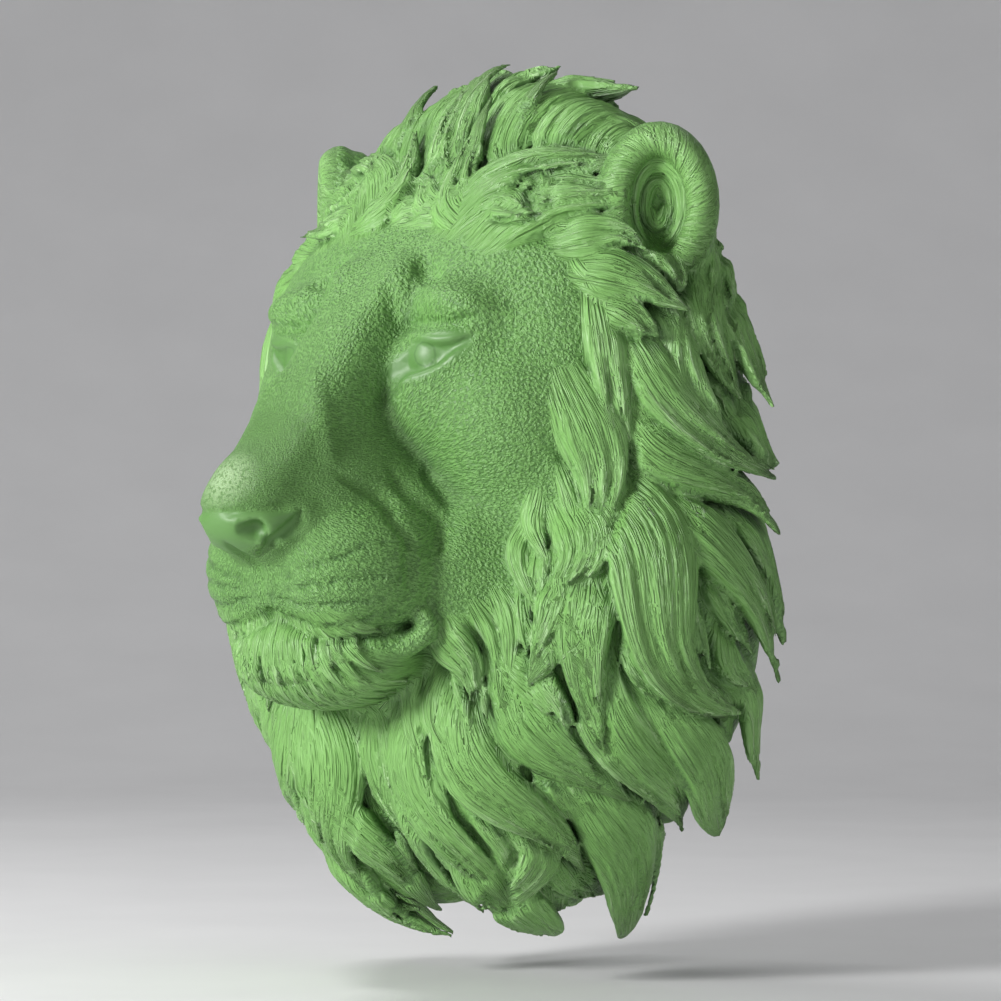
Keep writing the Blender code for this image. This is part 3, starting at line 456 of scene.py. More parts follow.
def sculpt_muzzle(clay):
    """Whisker pads, nose leather with comma nostrils, the split lip, the mouth and the chin."""
    clay.ellipsoid((0.000, 0.142, -0.067), (0.047, 0.036, 0.026), 0.006, -6, 0, 2.2)
    clay.ellipsoid((0.000, 0.153, -0.036), (0.024, 0.034, 0.022), 0.008)
    clay.ellipsoid((0.0272, 0.1500, -0.0315), (0.0285, 0.0375, 0.0305), 0.006, 0, 14, 2.2)
    clay.ellipsoid((0.0320, 0.1220, -0.0180), (0.0170, 0.0300, 0.0280), 0.010, 0, 10, 2.2)
    clay.ellipsoid((0.0180, 0.1480, -0.0080), (0.0165, 0.0340, 0.0300), 0.010)
    clay.ellipsoid((0.000, 0.189, -0.0095), (0.022, 0.0250, 0.0165), 0.006, 20, 0, 2.6)
    clay.ellipsoid((0.000, 0.1905, 0.0040), (0.0205, 0.0180, 0.0220), 0.006, 40)
    clay.limb([(0.013, 0.194, -0.009), (0.022, 0.182, -0.007)], (0.0095, 0.0070), 0.006)
    clay.limb([(0.0150, 0.2090, -0.0140), (0.0170, 0.2045, -0.0135)], (0.0046, 0.0052), 0.0015, carve=True)
    wing = [(0.0188, 0.1980, -0.0180), (0.0226, 0.1935, -0.0135), (0.0258, 0.1890, -0.0082),
            (0.0268, 0.1860, -0.0046)]
    clay.limb(curve_through(wing), np.linspace(0.0028, 0.0010, 16), 0.0010, carve=True)
    clay.stroke(clay.settle(curve_through([(0.0, -0.016), (0.0, -0.030), (0.0, -0.050)])), 0.0046, -0.0050)
    edges = (
        [(0.000, 0.2140, -0.0052), (0.0085, 0.2128, -0.0054), (0.0180, 0.2060, -0.0042),
         (0.0235, 0.1940, -0.0030), (0.0275, 0.1850, -0.0030)],
        [(0.0030, 0.1914, -0.0268), (0.0150, 0.1960, -0.0205), (0.0245, 0.1900, -0.0125),
         (0.0290, 0.1820, -0.0050)],
    )
    for marks in edges:
        clay.stroke(curve_through(marks), 0.0034, -0.0024)
    mouth = [(0.000, -0.0500), (0.0098, -0.0572), (0.0253, -0.0610), (0.0371, -0.0612), (0.0446, -0.0585),
             (0.0520, -0.0510)]
    clay.limb(clay.settle(curve_through(mouth)),
              np.interp(np.linspace(0, 1, 26), (0, 0.8, 1), (0.0026, 0.0022, 0.0008)), 0.0015, carve=True)
    corner = [(0.0400, 0.1510, -0.0690), (0.0480, 0.1410, -0.0650), (0.0535, 0.1350, -0.0585),
              (0.0540, 0.1365, -0.0525)]
    clay.limb(curve_through(corner),
              np.interp(np.linspace(0, 3, 16), range(4), (0.0034, 0.0050, 0.0056, 0.0044)), 0.004)
    sculpt_folds(clay)


def sculpt_folds(clay):
    """The crease behind each whisker pad, looser folds beyond it, and faint rows where whiskers grow."""
    pad = [(0.0268, 0.0156), (0.0319, 0.0089), (0.0422, -0.0027), (0.0525, -0.0143), (0.0562, -0.0259),
           (0.0559, -0.0397), (0.0519, -0.0486)]
    beyond = [(0.0335, 0.0190), (0.0375, 0.0099), (0.0450, -0.0004), (0.0520, -0.0099), (0.0555, -0.0212),
              (0.0570, -0.0330)]
    last = [(0.0355, 0.0250), (0.0410, 0.0120), (0.0490, 0.0010), (0.0560, -0.0100), (0.0610, -0.0200)]
    tear = [(0.0090, 0.064), (0.0110, 0.0563), (0.0206, 0.0417), (0.0239, 0.0300), (0.0257, 0.0201),
            (0.0308, 0.0130)]
    for marks, width, height in ((pad, 0.0055, -0.0046), (beyond, 0.0055, -0.0028), (last, 0.0050, -0.0018),
                                 (tear, 0.0075, 0.0017)):
        clay.stroke(clay.settle(curve_through(marks)), width, height)
    for marks in WHISKER_ROWS:
        clay.stroke(clay.settle(curve_through(marks)), 0.0028, -0.0014)


def sculpt_eyes(clay):
    """Half closed eyes: full lids, a slanted opening with the ball inside it, thin lid edges and a crease."""
    clay.ellipsoid((0.056, 0.092, 0.038), (0.033, 0.029, 0.034), 0.012)
    clay.ellipsoid((0.034, 0.110, 0.052), (0.020, 0.021, 0.026), 0.010, 10)
    clay.ellipsoid((0.047, 0.104, 0.068), (0.022, 0.0215, 0.019), 0.008, 0, 28)
    upper = [(0.0280, 0.0600), (0.0290, 0.0690), (0.0340, 0.0735), (0.0441, 0.0735), (0.0556, 0.0728),
             (0.0635, 0.0748), (0.0700, 0.0780)]
    lower = [(0.0270, 0.0480), (0.0328, 0.0525), (0.0399, 0.0552), (0.0479, 0.0575), (0.0556, 0.0620),
             (0.0612, 0.0678), (0.0670, 0.0750)]
    crease = [(0.0250, 0.0700), (0.0270, 0.0790), (0.0416, 0.0800), (0.0555, 0.0792), (0.0661, 0.0820),
              (0.0712, 0.0845)]
    opening = [(0.0295, 0.0505), (0.0325, 0.0590), (0.0385, 0.0635), (0.0470, 0.0650), (0.0550, 0.0672),
               (0.0615, 0.0710), (0.0665, 0.0752)]
    duct = [(0.0300, 0.0640), (0.0275, 0.0560), (0.0255, 0.0480), (0.0240, 0.0410)]
    upper, lower, crease, opening = [clay.settle(curve_through(marks))
                                     for marks in (upper, lower, crease, opening)]
    radii = np.interp(np.linspace(0, 6, 31), range(7),
                      (0.0020, 0.0056, 0.0078, 0.0074, 0.0056, 0.0034, 0.0010))
    turn = math.radians(EYE_TURN)
    opening = [(s + 0.5 * r * math.sin(turn), f + 0.5 * r * math.cos(turn), u)
               for (s, f, u), r in zip(opening, radii)]
    clay.limb(opening, radii, 0.0010, carve=True)
    clay.ellipsoid(EYE, (EYE_RADIUS,) * 3, 0.0005)
    clay.stroke(crease, 0.0036, -0.0030)
    clay.stroke(upper, 0.0032, 0.0024)
    clay.stroke(lower, 0.0032, 0.0018)
    clay.stroke(clay.settle(curve_through(duct)), 0.0045, -0.0024)


def sculpt_brows(clay):
    clay.ellipsoid((0.048, 0.107, 0.086), (0.022, 0.018, 0.011), 0.012, 20, 20)
    clay.ellipsoid((0.0180, 0.113, 0.094), (0.0085, 0.013, 0.018), 0.006, 35)
    creases = (
        ([(0.0185, 0.104), (0.0230, 0.091), (0.0246, 0.077)], 0.0055, -0.0028),
        ([(0.0240, 0.109), (0.0315, 0.104), (0.0420, 0.098)], 0.0080, -0.0032),
        ([(0.0080, 0.075), (0.0070, 0.095), (0.0040, 0.125)], 0.0080, -0.0020),
    )
    for marks, width, height in creases:
        clay.stroke(clay.settle(curve_through(marks)), width, height)
    clay.stroke([(0.0, 0.150, 0.075), (0.0, 0.128, 0.100), (0.0, 0.098, 0.130)], 0.012, -0.003)


def sculpt_beard(clay, fine):
    """Short locks that fan out over the chin and turn under it."""
    dice = np.random.default_rng(3)
    base = clay.field.copy()
    for start, stop, count in ((-24, -35, 15), (-19, -30, 15), (-15, -25, 17)):
        for k in range(count):
            place = (2 * k + 1 + dice.uniform(-0.3, 0.3)) / count - 1
            t = np.linspace(0, 1, LINKS)[:, None]
            root, tip = np.array((11 * place, start)), np.array((16 * place, stop + 5 * place**2))
            clay.lay_lock(base, root + (tip - root) * t, 8.5, 0.0, fine, dice)


def ear_place(wide, tall, angle, out):
    """A place on an oval in the plane of the ear: at 0 degrees at its outer side, and at 90 at its top."""
    turn = math.radians(EAR_TURN)
    a, b = wide * math.cos(math.radians(angle)), tall * math.sin(math.radians(angle))
    side = EAR[0] + a * math.cos(turn) + out * math.sin(turn)
    return side, EAR[1] - a * math.sin(turn) + out * math.cos(turn), EAR[2] + b


def ear_arc(wide, tall, start, stop, out):
    return [ear_place(wide, tall, angle, out) for angle in np.linspace(start, stop, 25)]


def sculpt_ear(clay, fine):
    """A rounded cup that opens forward and outward: a broad rim of hair round a bowl with curls inside."""
    clay.ellipsoid((EAR[0] - 0.004, EAR[1] - 0.006, EAR[2]), (0.026, 0.012, 0.035), 0.006, 0, -EAR_TURN)
    clay.limb(ear_arc(0.0195, 0.0295, -78, 226, 0.003), (0.0088,) * 25, 0.004)
    clay.ellipsoid((EAR[0] + 0.006, EAR[1] + 0.007, EAR[2] - 0.002), (0.0140, 0.0135, 0.0220), 0.003, 0,
                   -EAR_TURN, carve=True)
    turn = math.radians(EAR_TURN)
    facing = np.array((math.sin(turn), -math.cos(turn), 0.0))
    for wide, tall, start, stop, out, width, ridges in EAR_HAIR:
        for side in (1, -1):
            path = np.array([(side * s, -f, u) for s, f, u in ear_arc(wide, tall, start, stop, out)])
            lie = np.tile(facing * (side, 1, 1), (len(path), 1))
            slim = width * (0.45 + 0.55 * np.sin(math.pi * np.linspace(0.08, 0.92, len(path))))
            clay.ribbon(path, lie, slim, 0.6 * slim, 0.0008, ridges if fine else 0, 1.0)


def lock_spots(lock):
    """The spots of the map that a lock of the table runs over."""
    a, b, to_a, to_b, _, bow, curl, _ = lock
    t = np.linspace(-0.2, 1.04, LINKS)[:, None]
    along = np.array((to_a - a, to_b - b))
    across = np.array((-along[1], along[0]))
    return (a, b) + along * t + across * (bow * np.sin(math.pi * t) + curl * np.sin(2 * math.pi * t))


def guides():
    """Spots along the table's locks and the way that the hair runs at each, on both sides of the head."""
    spots, runs = [], []
    for lock in LOCKS:
        if lock[1] > 78:  # the crest's own locks fall forward, against the rest
            continue
        path = lock_spots(lock)
        run = np.gradient(path, axis=0)
        run /= np.linalg.norm(run, axis=1, keepdims=True)
        for side in ((1, 1), (-1, 1)):
            spots.append(path[1::4] * side)
            runs.append(run[1::4] * side)
    return np.concatenate(spots), np.concatenate(runs)


def flowing(start, length, swing, guide):
    """Spots of a lock that follows its neighbours from the start, swinging a little from side to side."""
    spots, runs = guide
    path = [np.array(start, float)]
    for t in np.linspace(0, 1, LINKS)[1:]:
        weight = 1 / (((spots - path[-1]) ** 2).sum(1) + 30)
        run = (runs * weight[:, None]).sum(0)
        run /= np.linalg.norm(run) + 1e-9
        bend = swing * math.sin(2 * math.pi * t)
        run = np.array((run[0] - bend * run[1], run[1] + bend * run[0]))
        spot = path[-1] + run * length / LINKS
        far = math.hypot(*spot)
        path.append(spot if far < LAST_REACH else spot * LAST_REACH / far)
    return np.array(path)


def face_edge(clock):
    """How far from the nose the mane begins, at a clock angle on the map (0 to the lion's left, 90 up)."""
    folded = clock if clock <= 90 else 180 - clock
    return float(np.interp(folded, *zip(*FACE_EDGE)))


def rows_of_locks(guide, dice):
    """Locks in rows all round the head, outermost first: each row covers the roots of the one before."""
    for ahead, length, width, spacing in ROWS:
        clock = -90 + dice.uniform(0, spacing)
        while clock < 270:
            reach = face_edge(clock) + ahead + dice.uniform(-2, 2)
            if reach < 88:
                radians = math.radians(clock)
                start = (reach * math.cos(radians), reach * math.sin(radians))
                swing = 0.45 * math.sin(0.11 * abs(start[0]) + 0.13 * start[1]) + dice.uniform(-0.2, 0.2)
                swing = math.copysign(swing, swing * start[0]) if start[0] else swing
                path = flowing(start, length * dice.uniform(0.8, 1.2), swing, guide)
                yield path, width * dice.uniform(0.8, 1.2), dice.uniform(-1, 2)
            clock += spacing * dice.uniform(0.8, 1.2) * 60 / max(reach, 40)


def mirrored(lock, dice):
    """The same lock on the other side, a little different, as hand carving is, and shorter below."""
    a, b, to_a, to_b, width, bow, curl, flick = lock
    turn = dice.uniform(-2.5, 2.5, 4)
    up = to_b + turn[3] + (5 if to_b < -60 else 0)
    return (-a + turn[0], b + turn[1], -to_a + turn[2], up, width, -bow + 0.02 * turn[0], -curl, flick)


def sculpt_mane(clay, fine):
    dice = np.random.default_rng(7)
    base = clay.field.copy()
    guide = guides()
    for spots, width, flick in rows_of_locks(guide, dice):
        clay.lay_lock(base, spots, width, flick, fine, dice)
    for lock in LOCKS:
        for version in (mirrored(lock, dice), lock):
            clay.lay_lock(base, lock_spots(version), version[4], version[7], fine, dice)
    clay.field = np.minimum(clay.field, base + DEEPEST)


def mesh_from(clay, name):
    """The clay's zero surface as a mesh object."""
    grid = openvdb.FloatGrid(FAR)
    limit = 3 * clay.cell
    grid.copyFromArray(np.clip(clay.field, -limit, limit))
    points, quads = grid.convertToQuads(0.0)
    mesh = bpy.data.meshes.new(name)
    mesh.from_pydata(points * clay.cell + clay.low, [], quads)
    body = bmesh.new()
    body.from_mesh(mesh)
    keep_largest(body)
    body.to_mesh(mesh)
    body.free()
    return bpy.data.objects.new(name, mesh)


def sculpt(cell):
    clay = Clay(cell)
    sculpt_masses(clay)
    sculpt_mane(clay, fine=cell < 0.0025)
    sculpt_muzzle(clay)
    sculpt_beard(clay, fine=cell < 0.0025)
    sculpt_brows(clay)
    sculpt_eyes(clay)
    sculpt_ear(clay, fine=cell < 0.0025)
    return clay


def keep_largest(body):
    """Deletes every piece of the mesh but the one with the most vertices."""
    waiting = set(body.verts)
    pieces = []
    while waiting:
        piece = {waiting.pop()}
        front = list(piece)
        while front:
            vert = front.pop()
            found = {edge.other_vert(vert) for edge in vert.link_edges} & waiting
            waiting -= found
            piece |= found
            front.extend(found)
        pieces.append(piece)
    pieces.sort(key=len)
    loose = [vert for piece in pieces[:-1] for vert in piece]
    bmesh.ops.delete(body, geom=loose, context="VERTS")


def thin(head, triangles):
    """Collapses edges until the head has about this many triangles."""
    thinner = head.modifiers.new("thin", "DECIMATE")
    thinner.ratio = triangles / (2 * len(head.data.polygons))
    thinner.use_collapse_triangulate = True
    bpy.context.view_layer.update()
    thinned = head.evaluated_get(bpy.context.evaluated_depsgraph_get())
    head.data = bpy.data.meshes.new_from_object(thinned)
    head.modifiers.clear()


def cut_flat(head):
    """Cuts off what is behind the wall plane, and closes the back with one flat face."""
    body = bmesh.new()
    body.from_mesh(head.data)
    everything = body.verts[:] + body.edges[:] + body.faces[:]
    bmesh.ops.bisect_plane(body, geom=everything, plane_co=(0, 0, 0), plane_no=(0, 1, 0), clear_outer=True)
    keep_largest(body)
    bmesh.ops.holes_fill(body, edges=[edge for edge in body.edges if edge.is_boundary])
    bmesh.ops.triangulate(body, faces=body.faces[:])
    body.to_mesh(head.data)
    body.free()


def prism(half_width, low, high, front, back):
    """A round-ended upright slot as a solid, from front to back (distances from the wall)."""
    ring = []
    for k in range(24):
        angle = 2 * math.pi * (k + 0.5) / 24
        ring.append((half_width * math.cos(angle),
                     half_width * math.sin(angle) + (high if k < 12 else low)))
    corners = [(x, -front, z) for x, z in ring] + [(x, -back, z) for x, z in ring]
    sides = [(k, (k + 1) % 24, 24 + (k + 1) % 24, 24 + k) for k in range(24)]
    mesh = bpy.data.meshes.new("cutter")
    mesh.from_pydata(corners, [], sides + [tuple(range(23, -1, -1)), tuple(range(24, 48))])
    mesh.validate()
    body = bmesh.new()
    body.from_mesh(mesh)
    bmesh.ops.recalc_face_normals(body, faces=body.faces[:])
    body.to_mesh(mesh)
    body.free()
    return bpy.data.objects.new("cutter", mesh)


def cut_keyhole(head):
    """Cuts the keyhole in the back: the screw head goes in at the hole, and the head slides down over it."""
    low, high = KEYHOLE_UP, KEYHOLE_UP + KEYHOLE_RUN
    cutters = (
        prism(KEYHOLE_HEAD, low, low, KEYHOLE_DEPTH, -0.005),
        prism(KEYHOLE_HEAD, low, high, KEYHOLE_DEPTH, KEYHOLE_LIP),
        prism(KEYHOLE_NECK, low, high, KEYHOLE_LIP + 0.002, -0.005),
    )
    for cutter in cutters:
        bpy.context.scene.collection.objects.link(cutter)
        cut = head.modifiers.new("cut", "BOOLEAN")
        cut.object = cutter
        cut.operation = "DIFFERENCE"
        cut.solver = "EXACT"
        bpy.context.view_layer.update()
        done = head.evaluated_get(bpy.context.evaluated_depsgraph_get())
        head.data = bpy.data.meshes.new_from_object(done)
        head.modifiers.clear()
        bpy.data.objects.remove(cutter)
    body = bmesh.new()
    body.from_mesh(head.data)
    bmesh.ops.triangulate(body, faces=body.faces[:])
    body.to_mesh(head.data)
    body.free()


def comb_rim(clay):
    """Short hair that lies across the rim of each ear, from the bowl outward."""
    for angle in np.linspace(-72, 218, 38):
        for side in (1, -1):
            path, lie = [], []
            for s in np.linspace(-0.85, 0.92, 9):
                lean = angle + 9 * s
                core = ear_place(0.0195, 0.0295, lean, 0.003)
                radius = 0.0082 - 0.0014 * s * s
                grow, rise = radius * s, radius * math.sqrt(1 - s * s)
                skin = ear_place(0.0195 + grow, 0.0295 + grow, lean, 0.003 + rise)
                path.append((side * skin[0], -skin[1], skin[2]))
                lie.append((side * (skin[0] - core[0]), core[1] - skin[1], skin[2] - core[2]))
            path, lie = np.array(path), np.array(lie)
            lie /= np.linalg.norm(lie, axis=1, keepdims=True)
            slim = 0.0028 * np.sin(math.pi * np.linspace(0.15, 0.92, 9))
            clay.ribbon(path, lie, slim, 0.4 * slim, 0.0004, 0, angle)


def on_lock(points, path, lie, wide, thick):
    """Where points lie across a lock (-1 to 1) and along it (0 to 1), and how far off its surface."""
    start, along = path[:-1], np.diff(path, axis=0)
    off = points[:, None, :] - start
    t = np.clip((off * along).sum(2) / np.maximum((along**2).sum(1), 1e-9), 0, 1)
    off -= t[:, :, None] * along
    pick = (off**2).sum(2).argmin(1)
    row = np.arange(len(points))
    share, off = (pick + t[row, pick]) / len(along), off[row, pick]
    knots = np.linspace(0, 1, len(path))
    side = sideways(path, lie)
    w, h = np.interp(share, knots, wide), np.interp(share, knots, thick)
    across = sum(off[:, k] * np.interp(share, knots, side[:, k]) for k in range(3))
    out = sum(off[:, k] * np.interp(share, knots, lie[:, k]) for k in range(3))
    rest = np.maximum((off**2).sum(1) - across**2 - out**2, 0)
    near = np.sqrt((across**2 + rest) / w**2 + (out / h) ** 2) + 1e-6
    steep = np.sqrt((across**2 + rest) / w**4 + out**2 / h**4) / near
    return across / w, share, np.abs((near - 1) / steep)


def comb(head, laid):
    """Finds which lock each face lies on, and stores where its corners are in that lock's strands."""
    mesh = head.data
    spots = np.empty(len(mesh.vertices) * 3)
    mesh.vertices.foreach_get("co", spots)
    corners = np.empty(len(mesh.loops), int)
    mesh.loops.foreach_get("vertex_index", corners)
    spots = spots.reshape(-1, 3)[corners.reshape(-1, 3)]
    middle = spots.mean(1)
    order = np.argsort(middle[:, 0])
    sorted_sides = middle[order, 0]
    off = np.full(len(middle), OFF_LOCK)
    owner = np.full(len(middle), -1)
    for k, (path, lie, wide, thick, _) in enumerate(laid):
        low, high = path.min(0) - wide.max(), path.max(0) + wide.max()
        first, last = np.searchsorted(sorted_sides, (low[0], high[0]))
        near = order[first:last]
        near = near[np.all((middle[near] > low) & (middle[near] < high), axis=1)]
        if len(near):
            gap = on_lock(middle[near], path, lie, wide, thick)[2]
            closer = gap < off[near]
            off[near[closer]] = gap[closer]
            owner[near[closer]] = k
    strand = np.zeros((len(middle), 3, 3), np.float32)
    for k, (path, lie, wide, thick, phase) in enumerate(laid):
        mine = np.flatnonzero(owner == k)
        if len(mine):
            across, share, _ = on_lock(spots[mine].reshape(-1, 3), path, lie, wide, thick)
            length = np.linalg.norm(np.diff(path, axis=0), axis=1).sum()
            place = np.stack([across * wide.max() / STRAND_PITCH, share * length / STRAND_RUN,
                              0 * share + 9 * phase], axis=1)
            strand[mine] = place.reshape(-1, 3, 3)
    store(mesh, "strand", "CORNER", strand.reshape(-1, 3))
    hair = np.repeat((owner >= 0) * np.clip(1.6 - off / 0.001, 0, 1), 3)
    store(mesh, "hair", "CORNER", hair)


def store(mesh, name, domain, values):
    kind = "FLOAT" if values.ndim == 1 else "FLOAT_VECTOR"
    field = "value" if values.ndim == 1 else "vector"
    mesh.attributes.new(name, kind, domain).data.foreach_set(field, values.astype(np.float32).ravel())


def read_form(head, clay):
    """Stores how deep in a hollow and how far on an edge each vertex is, and where fur and bare skin are."""
    mesh = head.data
    spots, normals = np.empty(len(mesh.vertices) * 3), np.empty(len(mesh.vertices) * 3)
    mesh.vertices.foreach_get("co", spots)
    mesh.vertices.foreach_get("normal", normals)
    spots, normals = spots.reshape(-1, 3), normals.reshape(-1, 3)
    hollow, edge = 0, 0
    for reach, share in REACHES:
        outside = clay.sample(clay.field, spots + normals * reach) / reach
        inside = clay.sample(clay.field, spots - normals * reach) / reach
        hollow = hollow + share * np.clip(1 - outside, 0, 1)
        edge = edge + share * np.clip(1 + inside, 0, 1)
    # hollow sets where the paint is darkened as painted shade.
    store(mesh, "hollow", "POINT", hollow)
    store(mesh, "edge", "POINT", edge)
    side, front, up = np.abs(spots[:, 0]), -spots[:, 1], spots[:, 2]
    place = np.stack([side, front, up], axis=1)
    store(mesh, "bare", "POINT", bare_skin(side, front, up))
    store(mesh, "iris", "POINT", np.linalg.norm(place - IRIS, axis=1) * 1000)
    # Painted highlight: pale paint on the top of the nose, where its glossy highlight falls.
    nose_highlight = np.clip(1.25 - np.linalg.norm(place - NOSE_TOP, axis=1) / 0.014, 0, 1)
    store(mesh, "nose_highlight", "POINT", nose_highlight * np.clip((up + 0.004) / 0.002, 0, 1))
    for name, centre, across, run in (("fur", (0, 0.005), 60, 0.50), ("beard", (0, -0.040), 45, 0.10)):
        round_about = spots[:, (0, 2)] - centre
        far = np.linalg.norm(round_about, axis=1, keepdims=True) + 1e-6
        distance = np.hypot(far[:, 0], 0.9 * (0.21 - front))
        spread = round_about / np.maximum(far, 0.035) * across
        store(mesh, name, "POINT", np.column_stack([spread, distance * 1000 * run]))
    store(mesh, "whisker", "POINT", whisker_rows(side, front, up))
    chin = np.clip((-0.058 - up - 0.15 * side) / 0.006, 0, 1) * np.clip((front - 0.105) / 0.01, 0, 1)
    store(mesh, "chin", "POINT", chin)


def bare_skin(side, front, up):
    """How bare of fur each vertex is: 1 on the end of the nose, the lids and the flat back, 0 elsewhere."""
    leather = np.clip((front - NOSE_END_FRONT) / 0.003, 0, 1) * np.clip((NOSE_END_TOP - up) / 0.0012, 0, 1)
    above = np.clip((up - NOSE_END_FOOT - 0.35 * side) / 0.002, 0, 1)
    leather = leather * above * np.clip((NOSE_END_HALF - side) / 0.002, 0, 1)
    over = side - LIDS[0]
    lids = np.hypot(over / LIDS_HALF[0], (up - LIDS[1] - LIDS_SLANT * over) / LIDS_HALF[1])
    lids = np.clip((1.05 - lids) / 0.15, 0, 1) * np.clip((front - 0.09) / 0.005, 0, 1)
    return np.maximum(np.maximum(leather, lids), front < ON_BACK)


def flatten_back(head):
    """Shades the flat back and the keyhole flat, so that their edges stay crisp."""
    mesh = head.data
    spots = np.empty(len(mesh.vertices) * 3)
    mesh.vertices.foreach_get("co", spots)
    x, y, z = spots.reshape(-1, 3).T
    back = y > -ON_BACK
    keyhole = (np.abs(x) < KEYHOLE_HEAD + 1e-4) & (y > -KEYHOLE_DEPTH - 1e-4)
    keyhole &= np.abs(z - KEYHOLE_UP) < 0.03
    corners = np.empty(len(mesh.loops), int)
    mesh.loops.foreach_get("vertex_index", corners)
    plane = (back | keyhole)[corners].reshape(-1, 3).all(1)
    mesh.polygons.foreach_set("use_smooth", ~plane)
    mesh.update()


def whisker_rows(side, front, up):
    """How near each vertex is to a row of whiskers on the pads: 1 on the row, 0 away from it."""
    nearest = np.full(len(side), 1.0)
    for row in WHISKER_ROWS:
        for a, b in zip(row[:-1], row[1:]):
            along = np.subtract(b, a)
            t = np.clip(((side - a[0]) * along[0] + (up - a[1]) * along[1]) / (along @ along), 0, 1)
            nearest = np.minimum(nearest, np.hypot(side - a[0] - t * along[0], up - a[1] - t * along[1]))
    return np.clip(1.3 - nearest / 0.0013, 0, 1) * np.clip((front - 0.14) / 0.005, 0, 1)


class Paint:
    """Builds the node tree of the painted resin."""

    def __init__(self, name):
        self.material = bpy.data.materials.new(name)
        self.material.use_nodes = True
        self.nodes = self.material.node_tree.nodes
        self.links = self.material.node_tree.links
        self.shader = self.nodes["Principled BSDF"]

    def attribute(self, name, output="Fac"):
        node = self.nodes.new("ShaderNodeAttribute")
        node.attribute_name = name
        return node.outputs[output]

    def noise(self, vector, scale, detail=2.0, distortion=0.0):
        node = self.nodes.new("ShaderNodeTexNoise")
        node.inputs["Scale"].default_value = scale
        node.inputs["Detail"].default_value = detail
        node.inputs["Distortion"].default_value = distortion
        self.links.new(vector, node.inputs["Vector"])
        return node.outputs["Fac"]

    def spread(self, value, low, high, to_low=0.0, to_high=1.0):
        """The value's range low to high as to_low to to_high, clamped."""
        node = self.nodes.new("ShaderNodeMapRange")
        for name, number in zip(("From Min", "From Max", "To Min", "To Max"), (low, high, to_low, to_high)):
            node.inputs[name].default_value = number
        self.links.new(value, node.inputs["Value"])
        return node.outputs["Result"]

    def math(self, operation, first, second):
        node = self.nodes.new("ShaderNodeMath")
        node.operation = operation
        for socket, value in zip(node.inputs, (first, second)):
            if isinstance(value, (int, float)):
                socket.default_value = value
            else:
                self.links.new(value, socket)
        return node.outputs[0]

    def times(self, first, second):
        return self.math("MULTIPLY", first, second)

    def tint(self, share, colour, other):
        """Mixes other into colour by share. Either is a colour or a socket."""
        node = self.nodes.new("ShaderNodeMix")
        node.data_type = "RGBA"
        self.links.new(share, node.inputs[0])
        for socket, value in ((node.inputs[6], colour), (node.inputs[7], other)):
            if isinstance(value, tuple):
                socket.default_value = (*value, 1.0)
            else:
                self.links.new(value, socket)
        return node.outputs[2]

    def bump(self, height, distance, before=None):
        node = self.nodes.new("ShaderNodeBump")
        node.inputs["Distance"].default_value = distance
        self.links.new(height, node.inputs["Height"])
        if before:
            self.links.new(before, node.inputs["Normal"])
        return node.outputs["Normal"]


